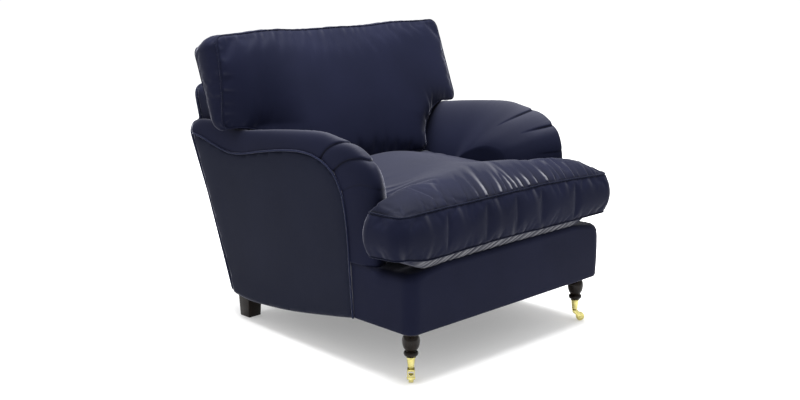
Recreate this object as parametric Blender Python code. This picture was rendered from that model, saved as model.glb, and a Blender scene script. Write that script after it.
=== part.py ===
"""Upholstered armchair with scroll arms, a T-shaped seat cushion, a loose back cushion and castors.

Metres, +Z up, the front faces -Y. The origin is on the floor under the middle of the chair.
"left" is the -X side and "right" the +X side, as seen by someone who faces the chair.
A setback is a distance backwards from the face of the front border.
"""

import math

import bmesh
import bpy
from mathutils import Matrix, Vector

# Overall plan and heights
FRONT_Y = -0.4901
BORDER_HALF_WIDTH = 0.404
REAR_HALF_WIDTH = 0.378
UNDERSIDE_Z = 0.144
RAIL_TOP_Z = 0.2835
SHELF_TOP_Z = 0.302
SHELF_REAR_SETBACK = 0.165
DECK_TOP_Z = 0.3045
GAP = 0.0004

# Side view of the upholstery: (setback, height) points that smooth curves pass through
UNDERSIDE_CURVE = [(0.222, 0.144), (0.33, 0.123), (0.51, 0.092), (0.66, 0.076), (0.74, 0.073), (0.806, 0.080)]
ARM_RIDGE_CURVE = [(0.139, 0.50), (0.143, 0.553), (0.172, 0.600), (0.225, 0.631), (0.30, 0.642),
                   (0.38, 0.642), (0.56, 0.620), (0.72, 0.604), (0.83, 0.607), (0.90, 0.606), (0.944, 0.590)]
PIPING_CURVE = [(0.222, 0.144), (0.230, 0.254), (0.236, 0.366), (0.249, 0.459), (0.271, 0.513),
                (0.303, 0.547), (0.354, 0.570), (0.415, 0.578), (0.502, 0.571), (0.606, 0.552),
                (0.700, 0.532), (0.765, 0.528), (0.834, 0.540), (0.885, 0.553), (0.935, 0.562)]
PIPING_RADIUS = 0.0035

# Outside back: a raked plane through one low point
OUTSIDE_BACK_SETBACK = 0.806
OUTSIDE_BACK_Z = 0.081
OUTSIDE_BACK_SLOPE = 0.30
BACK_TOP_Z = 0.700
BACK_HALF_WIDTH_LOW = 0.262
BACK_HALF_WIDTH_HIGH = 0.360
BACK_SHOULDER_Z = 0.622

# Arms
ARM_INNER_X = 0.270
ARM_RIDGE_X_FRONT = 0.362
ARM_RIDGE_X_REAR = 0.388
ARM_HOLLOW_X = (0.318, 0.389)
ARM_OPENING_X = (0.370, 0.460)
ARM_PAD_DEPTH = 0.045
FLARE_X_FRONT = 0.412
FLARE_X_REAR = 0.410
FLARE_HEIGHT = 0.43
PANEL_THICKNESS = 0.004
BACK_PANEL_THICKNESS = 0.0045

# Seat cushion
SEAT_HALF_WIDTH = 0.4286
SEAT_REAR_HALF_WIDTH = 0.262
SEAT_WING_DEPTH = 0.122
SEAT_FRONT_SETBACK = 0.0085
SEAT_REAR_SETBACK = 0.672
SEAT_SEAM_LOW_Z = 0.338
SEAT_SEAM_HIGH_Z = 0.458
SEAT_CROWN = 0.056
SEAT_BELLY = 0.0328
CUSHION_CORNER = 0.045
BOXING_BULGE = 0.012

# Back cushion: its front face is a raked plane
BACK_RAKE = math.radians(20.85)
BACK_FACE_SETBACK = 0.597
BACK_FACE_Z = 0.458
BACK_CUSHION_HALF_WIDTH = 0.4456
BACK_CUSHION_LOW_HALF_WIDTH = 0.258
BACK_CUSHION_TOP_Z = 0.865
BACK_CUSHION_EAR_Z = 0.622
BACK_CUSHION_BOTTOM_Z = 0.4700
BACK_CUSHION_THICKNESS = 0.113
BACK_CUSHION_CROWN = 0.030
BACK_CUSHION_REAR_CROWN = 0.010
COVER_THICKNESS = 0.002
COVER_CLEARANCE = 0.0034
CUSHION_PIPING_RADIUS = 0.003

# Legs and castors
FRONT_LEG_X = 0.3522
FRONT_LEG_SETBACK = 0.0514
REAR_LEG_X = 0.3285
REAR_LEG_SETBACK = 0.783
REAR_LEG_SIDE = 0.045
REAR_LEG_TOP_SIDE = 0.054
REAR_LEG_TOP_Z = 0.0905
LEG_TOP_Z = 0.1496
BOLT_RADIUS = 0.0040
BOLT_HOLE_RADIUS = 0.0044
CUP_TOP_Z = 0.0658
CUP_BOTTOM_Z = 0.0376
CUP_FLOOR_Z = 0.0408
PIN_RADIUS = 0.0026
AXLE_RADIUS = 0.0018
BEARING_GAP = 0.0003
FORK_HALF_WIDTH = 0.0100
FORK_TOP_Z = 0.0335
WHEEL_RADIUS = 0.0127
WHEEL_WIDTH = 0.0136
CASTOR_TRAIL = 0.017
CASTOR_HEADINGS = {"left": math.radians(225.8), "right": math.radians(315.8)}

# Frame timber and springs
RAIL_THICKNESS = 0.028
RAIL_LOW_Z_FRONT = 0.150
RAIL_LOW_Z_REAR = 0.092
FRONT_RAIL_HALF_LENGTH = 0.376
REAR_RAIL_HALF_LENGTH = 0.358
POST_SIDE = 0.034
FRONT_RAIL_SETBACK = 0.0225
REAR_RAIL_SETBACK = 0.771
SIDE_RAIL_X_FRONT = 0.355
SIDE_RAIL_X_REAR = 0.336
BACK_POST_X = 0.305
BACK_POST_FOOT_SETBACK = 0.786
BACK_POST_LEAN = 0.34
BACK_POST_TOP_Z = 0.652
ARM_POST_X = (0.330, 0.372)
ARM_POST_SETBACK = (0.200, 0.236)
ARM_RAIL_LOW_Z = 0.505
ARM_RAIL_HEIGHT = 0.030
BLOCK_LEG = 0.085
SPRING_X = (-0.195, -0.065, 0.065, 0.195)
SPRING_WIRE_RADIUS = 0.0018
SPRING_SWING = 0.020
SPRING_WAVES = 9
TIMBER_ROUNDING = 0.002

SIDES = (("left", -1), ("right", 1))


# ---------------------------------------------------------------- helpers

def clear_scene():
    for obj in list(bpy.data.objects):
        bpy.data.objects.remove(obj, do_unlink=True)


def make_material(name, colour, roughness, metallic=0.0):
    material = bpy.data.materials.new(name)
    material.use_nodes = True
    shader = material.node_tree.nodes["Principled BSDF"]
    shader.inputs["Base Color"].default_value = (*colour, 1.0)
    shader.inputs["Roughness"].default_value = roughness
    shader.inputs["Metallic"].default_value = metallic
    return material


def at(setback):
    """The Y coordinate of a setback."""
    return FRONT_Y + setback


def add_object(name, bm, material):
    """Turns the bmesh into an object with its faces pointing outwards."""
    bmesh.ops.recalc_face_normals(bm, faces=bm.faces)
    mesh = bpy.data.meshes.new(name)
    bm.to_mesh(mesh)
    bm.free()
    obj = bpy.data.objects.new(name, mesh)
    bpy.context.scene.collection.objects.link(obj)
    if material:
        mesh.materials.append(material)
    return obj


def add_cutter(name, bm):
    cutter = add_object(name, bm, None)
    cutter.hide_render = True
    cutter.display_type = "WIRE"
    return cutter


def cut(obj, cutter):
    modifier = obj.modifiers.new(cutter.name, "BOOLEAN")
    modifier.operation = "DIFFERENCE"
    modifier.object = cutter


def bevel(obj, width, segments=2, angle=40):
    modifier = obj.modifiers.new("Rounding", "BEVEL")
    modifier.width = width
    modifier.segments = segments
    modifier.limit_method = "ANGLE"
    modifier.angle_limit = math.radians(angle)


def loft(rings):
    """A closed solid through rings of equally many points, capped at both ends."""
    bm = bmesh.new()
    loops = [[bm.verts.new(point) for point in ring] for ring in rings]
    count = len(loops[0])
    for lower, upper in zip(loops, loops[1:]):
        for i in range(count):
            j = (i + 1) % count
            bm.faces.new((lower[i], lower[j], upper[j], upper[i]))
    bm.faces.new(loops[0])
    bm.faces.new(loops[-1])
    return bm


def side_prism(outline, x_low, x_high):
    """An outline of (setback, height) points, extruded along X."""
    return loft([[(x, at(s), z) for s, z in outline] for x in (x_low, x_high)])


def box(low, high):
    """A box between two corners given as (x, setback, z)."""
    x0, s0, z0 = low
    x1, s1, z1 = high
    corners = [(x0, s0), (x1, s0), (x1, s1), (x0, s1)]
    return loft([[(x, at(s), z) for x, s in corners] for z in (z0, z1)])


def circle(radius, z, count):
    turns = [2 * math.pi * i / count for i in range(count)]
    return [(radius * math.cos(t), radius * math.sin(t), z) for t in turns]


def turned(profile, count=20):
    """A solid of revolution about Z from (radius, height) points, listed along its whole outline."""
    return loft([circle(radius, z, count) for radius, z in profile])


def smooth_curve(points, steps=4):
    """Catmull-Rom curve through 2D points, with this many steps in each span."""
    ends = [points[0]] + list(points) + [points[-1]]
    curve = []
    for p0, p1, p2, p3 in zip(ends, ends[1:], ends[2:], ends[3:]):
        for step in range(steps):
            t = step / steps
            curve.append(tuple(
                0.5 * (2 * b + (c - a) * t + (2 * a - 5 * b + 4 * c - d) * t ** 2
                       + (3 * b - a - 3 * c + d) * t ** 3)
                for a, b, c, d in zip(p0, p1, p2, p3)
            ))
    return curve + [tuple(points[-1])]


def offset_curve(points, distance):
    """The open 2D curve moved sideways, to the left of its direction."""
    moved = []
    for i, (a, b) in enumerate(points):
        before = Vector(points[max(i - 1, 0)])
        after = Vector(points[min(i + 1, len(points) - 1)])
        along = (after - before).normalized()
        moved.append((a - along.y * distance, b + along.x * distance))
    return moved


def height_on(curve, setback):
    """The curve's height at this setback, on straight lines between its points."""
    for (s0, z0), (s1, z1) in zip(curve, curve[1:]):
        if s0 <= setback <= s1:
            return z0 + (z1 - z0) * (setback - s0) / (s1 - s0)
    return curve[0][1] if setback < curve[0][0] else curve[-1][1]


def slice_along(bm, axis, levels):
    """Adds edge loops where the mesh crosses these levels."""
    for level in levels:
        centre = [level if i == axis else 0.0 for i in range(3)]
        normal = [1.0 if i == axis else 0.0 for i in range(3)]
        geometry = bm.verts[:] + bm.edges[:] + bm.faces[:]
        bmesh.ops.bisect_plane(bm, geom=geometry, dist=1e-6, plane_co=centre, plane_no=normal)


def tube(name, points, radius, material, closed=False, sides=1):
    curve = bpy.data.curves.new(name, "CURVE")
    curve.dimensions = "3D"
    curve.bevel_depth = radius
    curve.bevel_resolution = sides
    curve.use_fill_caps = not closed
    spline = curve.splines.new("POLY")
    spline.points.add(len(points) - 1)
    for target, point in zip(spline.points, points):
        target.co = (*point, 1.0)
    spline.use_cyclic_u = closed
    curve.materials.append(material)
    obj = bpy.data.objects.new(name, curve)
    bpy.context.scene.collection.objects.link(obj)
    return obj


def clamp01(value):
    return min(max(value, 0.0), 1.0)


def outside_back_setback(z):
    return OUTSIDE_BACK_SETBACK + OUTSIDE_BACK_SLOPE * (z - OUTSIDE_BACK_Z)


def back_face_setback(z):
    """The front face of the back cushion."""
    return BACK_FACE_SETBACK + math.tan(BACK_RAKE) * (z - BACK_FACE_Z)


def side_x(setback, z):
    """Distance of the chair's side surface from the centre plane: tapered low down, flared high up."""
    rearward = clamp01((setback - 0.222) / 0.58)
    low = BORDER_HALF_WIDTH + (REAR_HALF_WIDTH - BORDER_HALF_WIDTH) * rearward
    high = FLARE_X_FRONT + (FLARE_X_REAR - FLARE_X_FRONT) * rearward
    return low + (high - low) * clamp01((z - UNDERSIDE_Z) / FLARE_HEIGHT)


# ---------------------------------------------------------------- timber frame

def underside(setback):
    return height_on(smooth_curve(UNDERSIDE_CURVE), setback)


def make_rails(beech):
    across = (("front_rail", FRONT_RAIL_HALF_LENGTH, FRONT_RAIL_SETBACK, RAIL_LOW_Z_FRONT),
              ("rear_rail", REAR_RAIL_HALF_LENGTH, REAR_RAIL_SETBACK, RAIL_LOW_Z_REAR))
    for name, half, setback, low_z in across:
        rail = box((-half, setback, low_z), (half, setback + RAIL_THICKNESS, RAIL_TOP_Z))
        bevel(add_object(name, rail, beech), TIMBER_ROUNDING, 1)
    start = FRONT_RAIL_SETBACK + RAIL_THICKNESS + GAP
    end = REAR_RAIL_SETBACK - GAP
    bottom = [(start, RAIL_LOW_Z_FRONT), (0.24, RAIL_LOW_Z_FRONT), (0.42, 0.119), (0.60, 0.094),
              (end, RAIL_LOW_Z_REAR)]
    outline = bottom + [(end, RAIL_TOP_Z), (start, RAIL_TOP_Z)]
    for side, sign in SIDES:
        rings = []
        for outward in (0.0, RAIL_THICKNESS):
            ring = []
            for s, z in outline:
                share = (s - start) / (end - start)
                x = SIDE_RAIL_X_FRONT + (SIDE_RAIL_X_REAR - SIDE_RAIL_X_FRONT) * share + outward - 0.008
                ring.append((sign * x, at(s), z))
            rings.append(ring)
        add_object("side_rail_" + side, loft(rings), beech)


def make_corner_blocks(beech):
    """Triangular blocks in the four corners of the seat frame, drilled for the leg bolts."""
    rail_back = FRONT_RAIL_SETBACK + RAIL_THICKNESS + GAP
    places = (
        ("front", rail_back, 1, 0.343, 0.1505, 0.205),
        ("rear", REAR_RAIL_SETBACK - GAP, -1, 0.3265, 0.0925, 0.150),
    )
    for place, corner, inward, x, low, high in places:
        for side, sign in SIDES:
            plan = [(x, corner), (x - BLOCK_LEG, corner), (x - BLOCK_LEG, corner + inward * 0.02),
                    (x - 0.02, corner + inward * BLOCK_LEG), (x, corner + inward * BLOCK_LEG)]
            rings = [[(sign * px, at(ps), z) for px, ps in plan] for z in (low, high)]
            bevel(add_object(f"corner_block_{place}_{side}", loft(rings), beech), 0.0015, 1)


def make_posts_and_arm_rails(beech):
    x_in, x_out = ARM_POST_X
    front, rear = ARM_POST_SETBACK
    ends = ((front, x_in, x_out), (0.820, x_in + 0.006, x_out + 0.006))
    top_z = ARM_RAIL_LOW_Z + ARM_RAIL_HEIGHT
    for side, sign in SIDES:
        post = box((sign * x_in, front, RAIL_TOP_Z + GAP), (sign * x_out, rear, ARM_RAIL_LOW_Z - GAP))
        bevel(add_object("arm_post_" + side, post, beech), TIMBER_ROUNDING, 1)
        rings = []
        for setback, x0, x1 in ends:
            corners = ((x0, ARM_RAIL_LOW_Z), (x1, ARM_RAIL_LOW_Z), (x1, top_z), (x0, top_z))
            rings.append([(sign * x, at(setback), z) for x, z in corners])
        bevel(add_object("arm_rail_" + side, loft(rings), beech), TIMBER_ROUNDING, 1)


def back_post_ring(sign, z, grow=0.0):
    half = POST_SIDE / 2 + grow
    corners = ((-half, -half), (half, -half), (half, half), (-half, half))
    return [(sign * BACK_POST_X + dx, at(back_post_setback(z) + ds), z) for dx, ds in corners]


def back_post_setback(z):
    return BACK_POST_FOOT_SETBACK + BACK_POST_LEAN * (z - RAIL_TOP_Z)


def make_back_frame(beech):
    for side, sign in SIDES:
        post = loft([back_post_ring(sign, z) for z in (RAIL_TOP_Z + GAP, BACK_POST_TOP_Z)])
        bevel(add_object("back_post_" + side, post, beech), TIMBER_ROUNDING, 1)
    top = back_post_setback(BACK_POST_TOP_Z)
    half = BACK_POST_X + POST_SIDE / 2
    rail = box((-half, top - 0.009, BACK_POST_TOP_Z + GAP), (half, top + 0.019, BACK_POST_TOP_Z + 0.028))
    bevel(add_object("back_top_rail", rail, beech), TIMBER_ROUNDING, 1)
    low_z = 0.325
    low = back_post_setback(low_z + 0.02)
    reach = BACK_POST_X - POST_SIDE / 2 - GAP
    lower = box((-reach, low - 0.011, low_z), (reach, low + 0.011, low_z + 0.045))
    bevel(add_object("back_lower_rail", lower, beech), TIMBER_ROUNDING, 1)


def make_springs(steel):
    """Serpentine springs that lie across the seat frame from the front rail to the rear rail."""
    z = RAIL_TOP_Z + SPRING_WIRE_RADIUS + GAP
    start = FRONT_RAIL_SETBACK + 0.010
    end = REAR_RAIL_SETBACK + 0.018
    steps = 6
    for number, x in enumerate(SPRING_X, start=1):
        points = []
        for i in range(SPRING_WAVES * steps + 1):
            turn = i / steps
            swing = SPRING_SWING * math.sin(2 * math.pi * turn)
            points.append((x + swing, at(start + (end - start) * turn / SPRING_WAVES), z))
        tube(f"seat_spring_{number}", points, SPRING_WIRE_RADIUS, steel)


# ---------------------------------------------------------------- fixed upholstery

def make_front_border(velvet):
    """Padded border across the front, returned along both sides as far as the arm piping."""
    border = box((-BORDER_HALF_WIDTH, 0.0, UNDERSIDE_Z), (BORDER_HALF_WIDTH, 0.2175, SHELF_TOP_Z))
    upright = [e for e in border.edges if abs(e.verts[0].co.z - e.verts[1].co.z) > 0.1
               and e.verts[0].co.y < at(0.1)]
    bmesh.ops.bevel(border, geom=upright, offset=0.034, segments=4, profile=0.5, affect="EDGES")
    top = [e for e in border.edges if min(v.co.z for v in e.verts) > SHELF_TOP_Z - 1e-4
           and min(v.co.y for v in e.verts) < at(0.2)]
    bmesh.ops.bevel(border, geom=top, offset=0.024, segments=4, profile=0.5, affect="EDGES")
    border = add_object("front_border", border, velvet)
    inner = BORDER_HALF_WIDTH - 0.0195
    under_shelf = box((-inner, 0.022, 0.10), (inner, 0.26, 0.2892))
    behind_shelf = box((-inner, SHELF_REAR_SETBACK, 0.10), (inner, 0.26, 0.31))
    cut(border, add_cutter("border_hollow", under_shelf))
    cut(border, add_cutter("border_rear_hollow", behind_shelf))


def make_seat_deck(cloth):
    deck = box((-0.265, SHELF_REAR_SETBACK + GAP, 0.2895), (0.265, 0.690, DECK_TOP_Z))
    bevel(add_object("seat_deck", deck, cloth), 0.003, 1)


def arm_section(setback, sign):
    """Cross-section of the arm: inner face, rounded top, outer face and bottom."""
    ridge_z = height_on(smooth_curve(ARM_RIDGE_CURVE), setback)
    rearward = clamp01((setback - 0.25) / 0.45)
    ridge_x = ARM_RIDGE_X_FRONT + (ARM_RIDGE_X_REAR - ARM_RIDGE_X_FRONT) * rearward
    nose = 1.0 - clamp01((setback - 0.139) / 0.075)
    inner_x = ARM_INNER_X + 0.062 * nose ** 2
    outer_pull = 0.022 * nose ** 3
    bottom_z = SHELF_TOP_Z + GAP
    inner_rise = 0.14
    outer_rise = 0.072
    lowest_arc = bottom_z + 0.01
    points = [(inner_x, bottom_z)]
    steps = 5
    for i in range(steps):
        angle = math.pi / 2 * i / steps
        z = ridge_z - inner_rise * (1 - math.sin(angle))
        points.append((ridge_x - (ridge_x - inner_x) * math.cos(angle), max(z, lowest_arc)))
    for i in range(steps + 1):
        angle = math.pi / 2 * i / steps
        z = ridge_z - outer_rise * (1 - math.cos(angle))
        outer_x = side_x(setback, z) + 0.004 - outer_pull
        points.append((ridge_x + (outer_x - ridge_x) * math.sin(angle), z))
    middle_z = 0.42
    points.append((side_x(setback, middle_z) - outer_pull, middle_z))
    points.append((side_x(setback, bottom_z) - outer_pull, bottom_z))
    return [(sign * x, at(raked_setback(setback, z)), z) for x, z in points]


def raked_setback(setback, z):
    """Slants the rear part of the arm, so that its end lies in the raked plane of the outside back."""
    turn = 0.50
    if setback < turn:
        return setback
    share = (setback - turn) / (ARM_RIDGE_CURVE[-1][0] - turn)
    return turn + (outside_back_setback(z) - 0.0055 - turn) * share


def arm_stations():
    front = [0.1395, 0.143, 0.150, 0.160, 0.172, 0.188, 0.206, 0.225, 0.26]
    return front + [0.26 + (0.944 - 0.26) * i / 9 for i in range(1, 10)]


def piping_path():
    return smooth_curve(PIPING_CURVE, 3)


def make_arms(velvet):
    """Each arm is a hollow pad: round top, inner wall and front, open at the side and below."""
    opening = offset_curve(piping_path(), PIPING_RADIUS + GAP)
    ridge = [(s, z) for s, z in smooth_curve(ARM_RIDGE_CURVE, 2) if 0.17 < s < 0.90]
    hollow = offset_curve(ridge, -ARM_PAD_DEPTH)
    opening_outline = opening + [(1.02, opening[-1][1]), (1.02, 0.10), (opening[0][0], 0.10)]
    hollow_outline = hollow + [(0.926, 0.50), (0.926, 0.25), (0.176, 0.25)]
    for side, sign in SIDES:
        arm = add_object("arm_" + side, loft([arm_section(s, sign) for s in arm_stations()]), velvet)
        mouth = add_cutter("arm_opening_" + side,
                           side_prism(opening_outline, *(sign * x for x in ARM_OPENING_X)))
        core = add_cutter("arm_hollow_" + side, side_prism(hollow_outline, *(sign * x for x in ARM_HOLLOW_X)))
        channel = loft([back_post_ring(sign, z, 0.0006) for z in (0.28, BACK_POST_TOP_Z + 0.004)])
        post_channel = add_cutter("post_channel_" + side, channel)
        tail = add_cutter("arm_tail_" + side, box((sign * 0.24, 0.775, 0.25),
                                                     (sign * ARM_HOLLOW_X[1], 0.872, 0.53)))
        for cutter in (mouth, core, tail, post_channel):
            cut(arm, cutter)


def make_outside_panels(velvet):
    """Flat outside arm panels below the piping, following the side's taper and flare."""
    rear_top = 0.552
    top = offset_curve(piping_path(), -PIPING_RADIUS - GAP)
    top = [(s, z) for s, z in top if s < outside_back_setback(z) - 0.006]
    rear_low = outside_back_setback(OUTSIDE_BACK_Z) - 0.0055
    bottom = [(s, z) for s, z in smooth_curve(UNDERSIDE_CURVE, 2) if top[0][0] < s < rear_low - 0.01]
    bottom.append((rear_low, OUTSIDE_BACK_Z))
    rear = [(outside_back_setback(z) - 0.0055, z) for z in (rear_top, 0.40, 0.25)]
    outline = top + rear + bottom[::-1] + [(top[0][0], UNDERSIDE_Z)]
    for side, sign in SIDES:
        panel = side_prism(outline, sign * 1.0, sign * 2.0)
        slice_along(panel, 1, [at(0.3 + 0.08 * i) for i in range(8)])
        slice_along(panel, 2, [0.2, 0.3, 0.4, 0.5])
        for vertex in panel.verts:
            inset = PANEL_THICKNESS if abs(vertex.co.x) < 1.5 else 0.0
            vertex.co.x = sign * (side_x(vertex.co.y - FRONT_Y, vertex.co.z) - inset)
        add_object("outside_arm_panel_" + side, panel, velvet)


def make_arm_piping(velvet):
    for side, sign in SIDES:
        path = [(sign * (side_x(s, z) + 0.0005), at(s), z) for s, z in piping_path()]
        tube("arm_piping_" + side, path, PIPING_RADIUS - 0.0002, velvet)


def make_inside_back(velvet):
    """Padded back, narrow between the arms and wide above them, hollow behind for the frame."""
    low_z = SHELF_TOP_Z + 0.004
    plan = [(BACK_HALF_WIDTH_LOW, low_z), (BACK_HALF_WIDTH_LOW, BACK_SHOULDER_Z),
            (BACK_HALF_WIDTH_HIGH, BACK_SHOULDER_Z), (BACK_HALF_WIDTH_HIGH, 0.665),
            (BACK_HALF_WIDTH_HIGH - 0.010, 0.690), (BACK_HALF_WIDTH_HIGH - 0.035, BACK_TOP_Z)]
    outline = plan + [(-x, z) for x, z in plan[::-1]]
    cushion_depth = (BACK_CUSHION_THICKNESS + BACK_CUSHION_REAR_CROWN + 0.002) / math.cos(BACK_RAKE)
    rings = []
    for share in (0.0, 0.12, 0.88, 1.0):
        ring = []
        for x, z in outline:
            if share in (0.0, 1.0):
                z -= 0.02 * clamp01((z - 0.66) / 0.03)
            front = back_face_setback(z) + cushion_depth
            rear = outside_back_setback(z) - 0.0052
            ring.append((x, at(front + (rear - front) * share), z))
        rings.append(ring)
    back = add_object("inside_back", loft(rings), velvet)
    low_half = BACK_HALF_WIDTH_LOW + 0.04
    high_half = BACK_POST_X + POST_SIDE / 2 + 0.001
    for name, half, levels in (("low", low_half, (0.20, 0.45, BACK_SHOULDER_Z + 0.020)),
                               ("high", high_half, (BACK_SHOULDER_Z + 0.012, BACK_POST_TOP_Z + 0.030))):
        rings = []
        for z in levels:
            near = back_post_setback(z) - 0.020
            corners = ((-half, near), (half, near), (half, 1.1), (-half, 1.1))
            rings.append([(x, at(s), z) for x, s in corners])
        cut(back, add_cutter("back_hollow_" + name, loft(rings)))
    for side, _ in SIDES:
        cut(back, bpy.data.objects["post_channel_" + side])


def make_outside_back(velvet):
    rings = []
    outline = ((0.0915, 0.373), (0.30, 0.385), (0.50, 0.400), (0.56, 0.403), (0.583, 0.396),
               (0.597, 0.380), (0.607, 0.352), (0.672, 0.348))
    for z, half in outline:
        rear = outside_back_setback(z)
        front = rear - BACK_PANEL_THICKNESS
        corners = ((-half, front), (half, front), (half, rear), (-half, rear))
        rings.append([(x, at(s), z) for x, s in corners])
    add_object("outside_back_panel", loft(rings), velvet)


def make_dust_cover(cloth):
    """Thin cloth under the frame, notched round the four legs."""
    half = [(0.318, 0.026), (0.318, 0.086), (0.368, 0.086), (0.350, 0.748), (0.296, 0.748), (0.296, 0.798)]
    plan = half + [(-x, s) for x, s in half[::-1]]
    cover = loft([[(x, at(s), z) for x, s in plan] for z in (0.0, 0.0015)])
    slice_along(cover, 1, [at(0.16 + 0.08 * i) for i in range(8)])
    for vertex in cover.verts:
        vertex.co.z += min(underside(vertex.co.y - FRONT_Y) + 0.0035, 0.1475)
    add_object("dust_cover", cover, cloth)


# ---------------------------------------------------------------- loose cushions

class Cushion:
    """A T-shaped cushion in its own frame: the wide part is towards -Y, its best face towards +Z.

    The plan is a grid of cells. Lower and upper seams run round it at Z 0 and at the thickness.
    """

    def __init__(self, half_width, narrow, wing, rows, thickness, crown, belly, level_from, shear=0.0):
        self.half_width = half_width
        self.narrow = narrow
        self.wing = wing
        self.rows = rows
        self.thickness = thickness
        self.crown = crown
        self.belly = belly
        self.level_from = level_from
        self.shear = shear
        right = [0.0, narrow * 0.45, narrow * 0.8, narrow, half_width - CUSHION_CORNER, half_width]
        self.columns = [-x for x in right[:0:-1]] + right
        self.cells = [(i, j) for i in range(len(self.columns) - 1) for j in range(len(rows) - 1)
                      if self.holds(i, j)]
        self.neighbours = {}
        self.border = self.find_border()
        self.outward = self.find_outward()

    def holds(self, i, j):
        middle = abs(self.columns[i] + self.columns[i + 1]) / 2
        return middle < self.narrow or self.rows[j + 1] <= self.wing + 1e-6

    def find_border(self):
        """The grid edges with a cell on one side only, as a dictionary from each node to the next."""
        uses = {}
        for i, j in self.cells:
            loop = [(i, j), (i + 1, j), (i + 1, j + 1), (i, j + 1)]
            for a, b in zip(loop, loop[1:] + loop[:1]):
                uses.setdefault(frozenset((a, b)), []).append((a, b))
                self.neighbours.setdefault(a, []).append((i, j))
        return dict(found[0] for found in uses.values() if len(found) == 1)

    def find_outward(self):
        outward = {}
        for a, b in self.border.items():
            along = Vector((self.columns[b[0]] - self.columns[a[0]], self.rows[b[1]] - self.rows[a[1]]))
            normal = Vector((along.y, -along.x)).normalized()
            for node in (a, b):
                total = outward.get(node, Vector((0.0, 0.0))) + normal
                outward[node] = Vector((min(max(total.x, -1.0), 1.0), min(max(total.y, -1.0), 1.0)))
        return outward

    def plan(self, node, inset=0.0):
        """Place of a grid node, with the outer corners rounded and the outline moved inwards."""
        x = self.columns[node[0]]
        y = self.rows[node[1]]
        cells = self.neighbours[node]
        if len(cells) == 1:
            i, j = cells[0]
            width = self.columns[i + 1] - self.columns[i]
            depth = self.rows[j + 1] - self.rows[j]
            pull = 0.29 * min(CUSHION_CORNER, width, depth)
            x += math.copysign(pull, self.columns[i] + width / 2 - x)
            y += math.copysign(pull, self.rows[j] + depth / 2 - y)
        if node in self.outward:
            x -= self.outward[node].x * inset
            y -= self.outward[node].y * inset
        return x, y

    def bent(self, x, y, z):
        """Tilts the ends of the boxing below the wide part, so that they lie level when the cushion leans."""
        share = clamp01(y / (self.wing * 0.9))
        return x, y - (self.thickness - z) * self.shear * share, z

    def fullness(self, x, y, end):
        half = self.half_width if y < self.wing + 0.03 else self.narrow + 0.05
        across = clamp01((half - abs(x)) / 0.12)
        along = clamp01(y / 0.12) * clamp01((end - y) / 0.10)
        return math.sin(math.pi / 2 * across) * math.sin(math.pi / 2 * along)

    def skin(self, inset=0.0, with_slit=False):
        """Panels and boxing; a cover leaves out the boxing behind its zip."""
        bm = bmesh.new()
        made = {}
        shares = (0.0, 0.42, 0.58, 1.0)
        for node in self.neighbours:
            x, y = self.plan(node, inset)
            if node not in self.outward:
                drop = self.belly * self.fullness(x, y, self.rows[-1])
                rise = self.crown * self.fullness(x, y, self.level_from)
                made[node, 0.0] = bm.verts.new(self.bent(x, y, inset - drop))
                made[node, 1.0] = bm.verts.new(self.bent(x, y, self.thickness - inset + rise))
                continue
            direction = self.outward[node].normalized()
            bulge = BOXING_BULGE if self.rows[node[1]] < self.wing - 1e-6 else 0.0
            for share in shares:
                reach = bulge * math.sin(math.pi * share)
                z = inset + (self.thickness - 2 * inset) * share
                place = self.bent(x + direction.x * reach, y + direction.y * reach, z)
                made[node, share] = bm.verts.new(place)
        for i, j in self.cells:
            for share in (0.0, 1.0):
                loop = [(i, j), (i + 1, j), (i + 1, j + 1), (i, j + 1)]
                bm.faces.new([made[node, share] for node in loop])
        for a, b in self.border.items():
            for low, high in zip(shares, shares[1:]):
                if with_slit and low == shares[1] and self.behind_zip(a) and self.behind_zip(b):
                    continue
                bm.faces.new((made[a, low], made[b, low], made[b, high], made[a, high]))
        return bm

    def behind_zip(self, node):
        return node[1] == len(self.rows) - 1 and abs(self.columns[node[0]]) < self.narrow * 0.9

    def seam_path(self, height, spread):
        """Points along the seam at this height, moved outwards by the spread."""
        start = next(iter(self.border))
        path = []
        node = start
        while True:
            x, y = self.plan(node)
            direction = self.outward[node]
            path.append(self.bent(x + direction.x * spread, y + direction.y * spread, height))
            node = self.border[node]
            if node == start:
                return path

    def zip_plate(self):
        half = self.narrow * 0.8 - 0.0008
        low = self.thickness * 0.42 + 0.0008
        high = self.thickness * 0.58 - 0.0008
        outer = self.rows[-1] - 0.0002
        inner = outer - COVER_THICKNESS * 0.8
        rings = []
        for x in (-half, half):
            corners = ((inner, low), (outer, low), (outer, high), (inner, high))
            rings.append([self.bent(x, y, z) for y, z in corners])
        return loft(rings)


def make_cushion(name, cushion, matrix, velvet, foam, brass):
    core = add_object(name + "_filling", cushion.skin(COVER_CLEARANCE), foam)
    cover = add_object(name + "_cover", cushion.skin(with_slit=True), velvet)
    thickness = cover.modifiers.new("Cloth", "SOLIDIFY")
    thickness.thickness = COVER_THICKNESS
    thickness.offset = -1.0
    pieces = [core, cover, add_object(name + "_zip", cushion.zip_plate(), brass)]
    spread = CUSHION_PIPING_RADIUS + 0.0008
    for seam, height in (("lower", -0.0012), ("upper", cushion.thickness + 0.0012)):
        path = cushion.seam_path(height, spread)
        pieces.append(tube(f"{name}_{seam}_piping", path, CUSHION_PIPING_RADIUS, velvet, closed=True))
    for piece in pieces:
        piece.matrix_world = matrix


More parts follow.
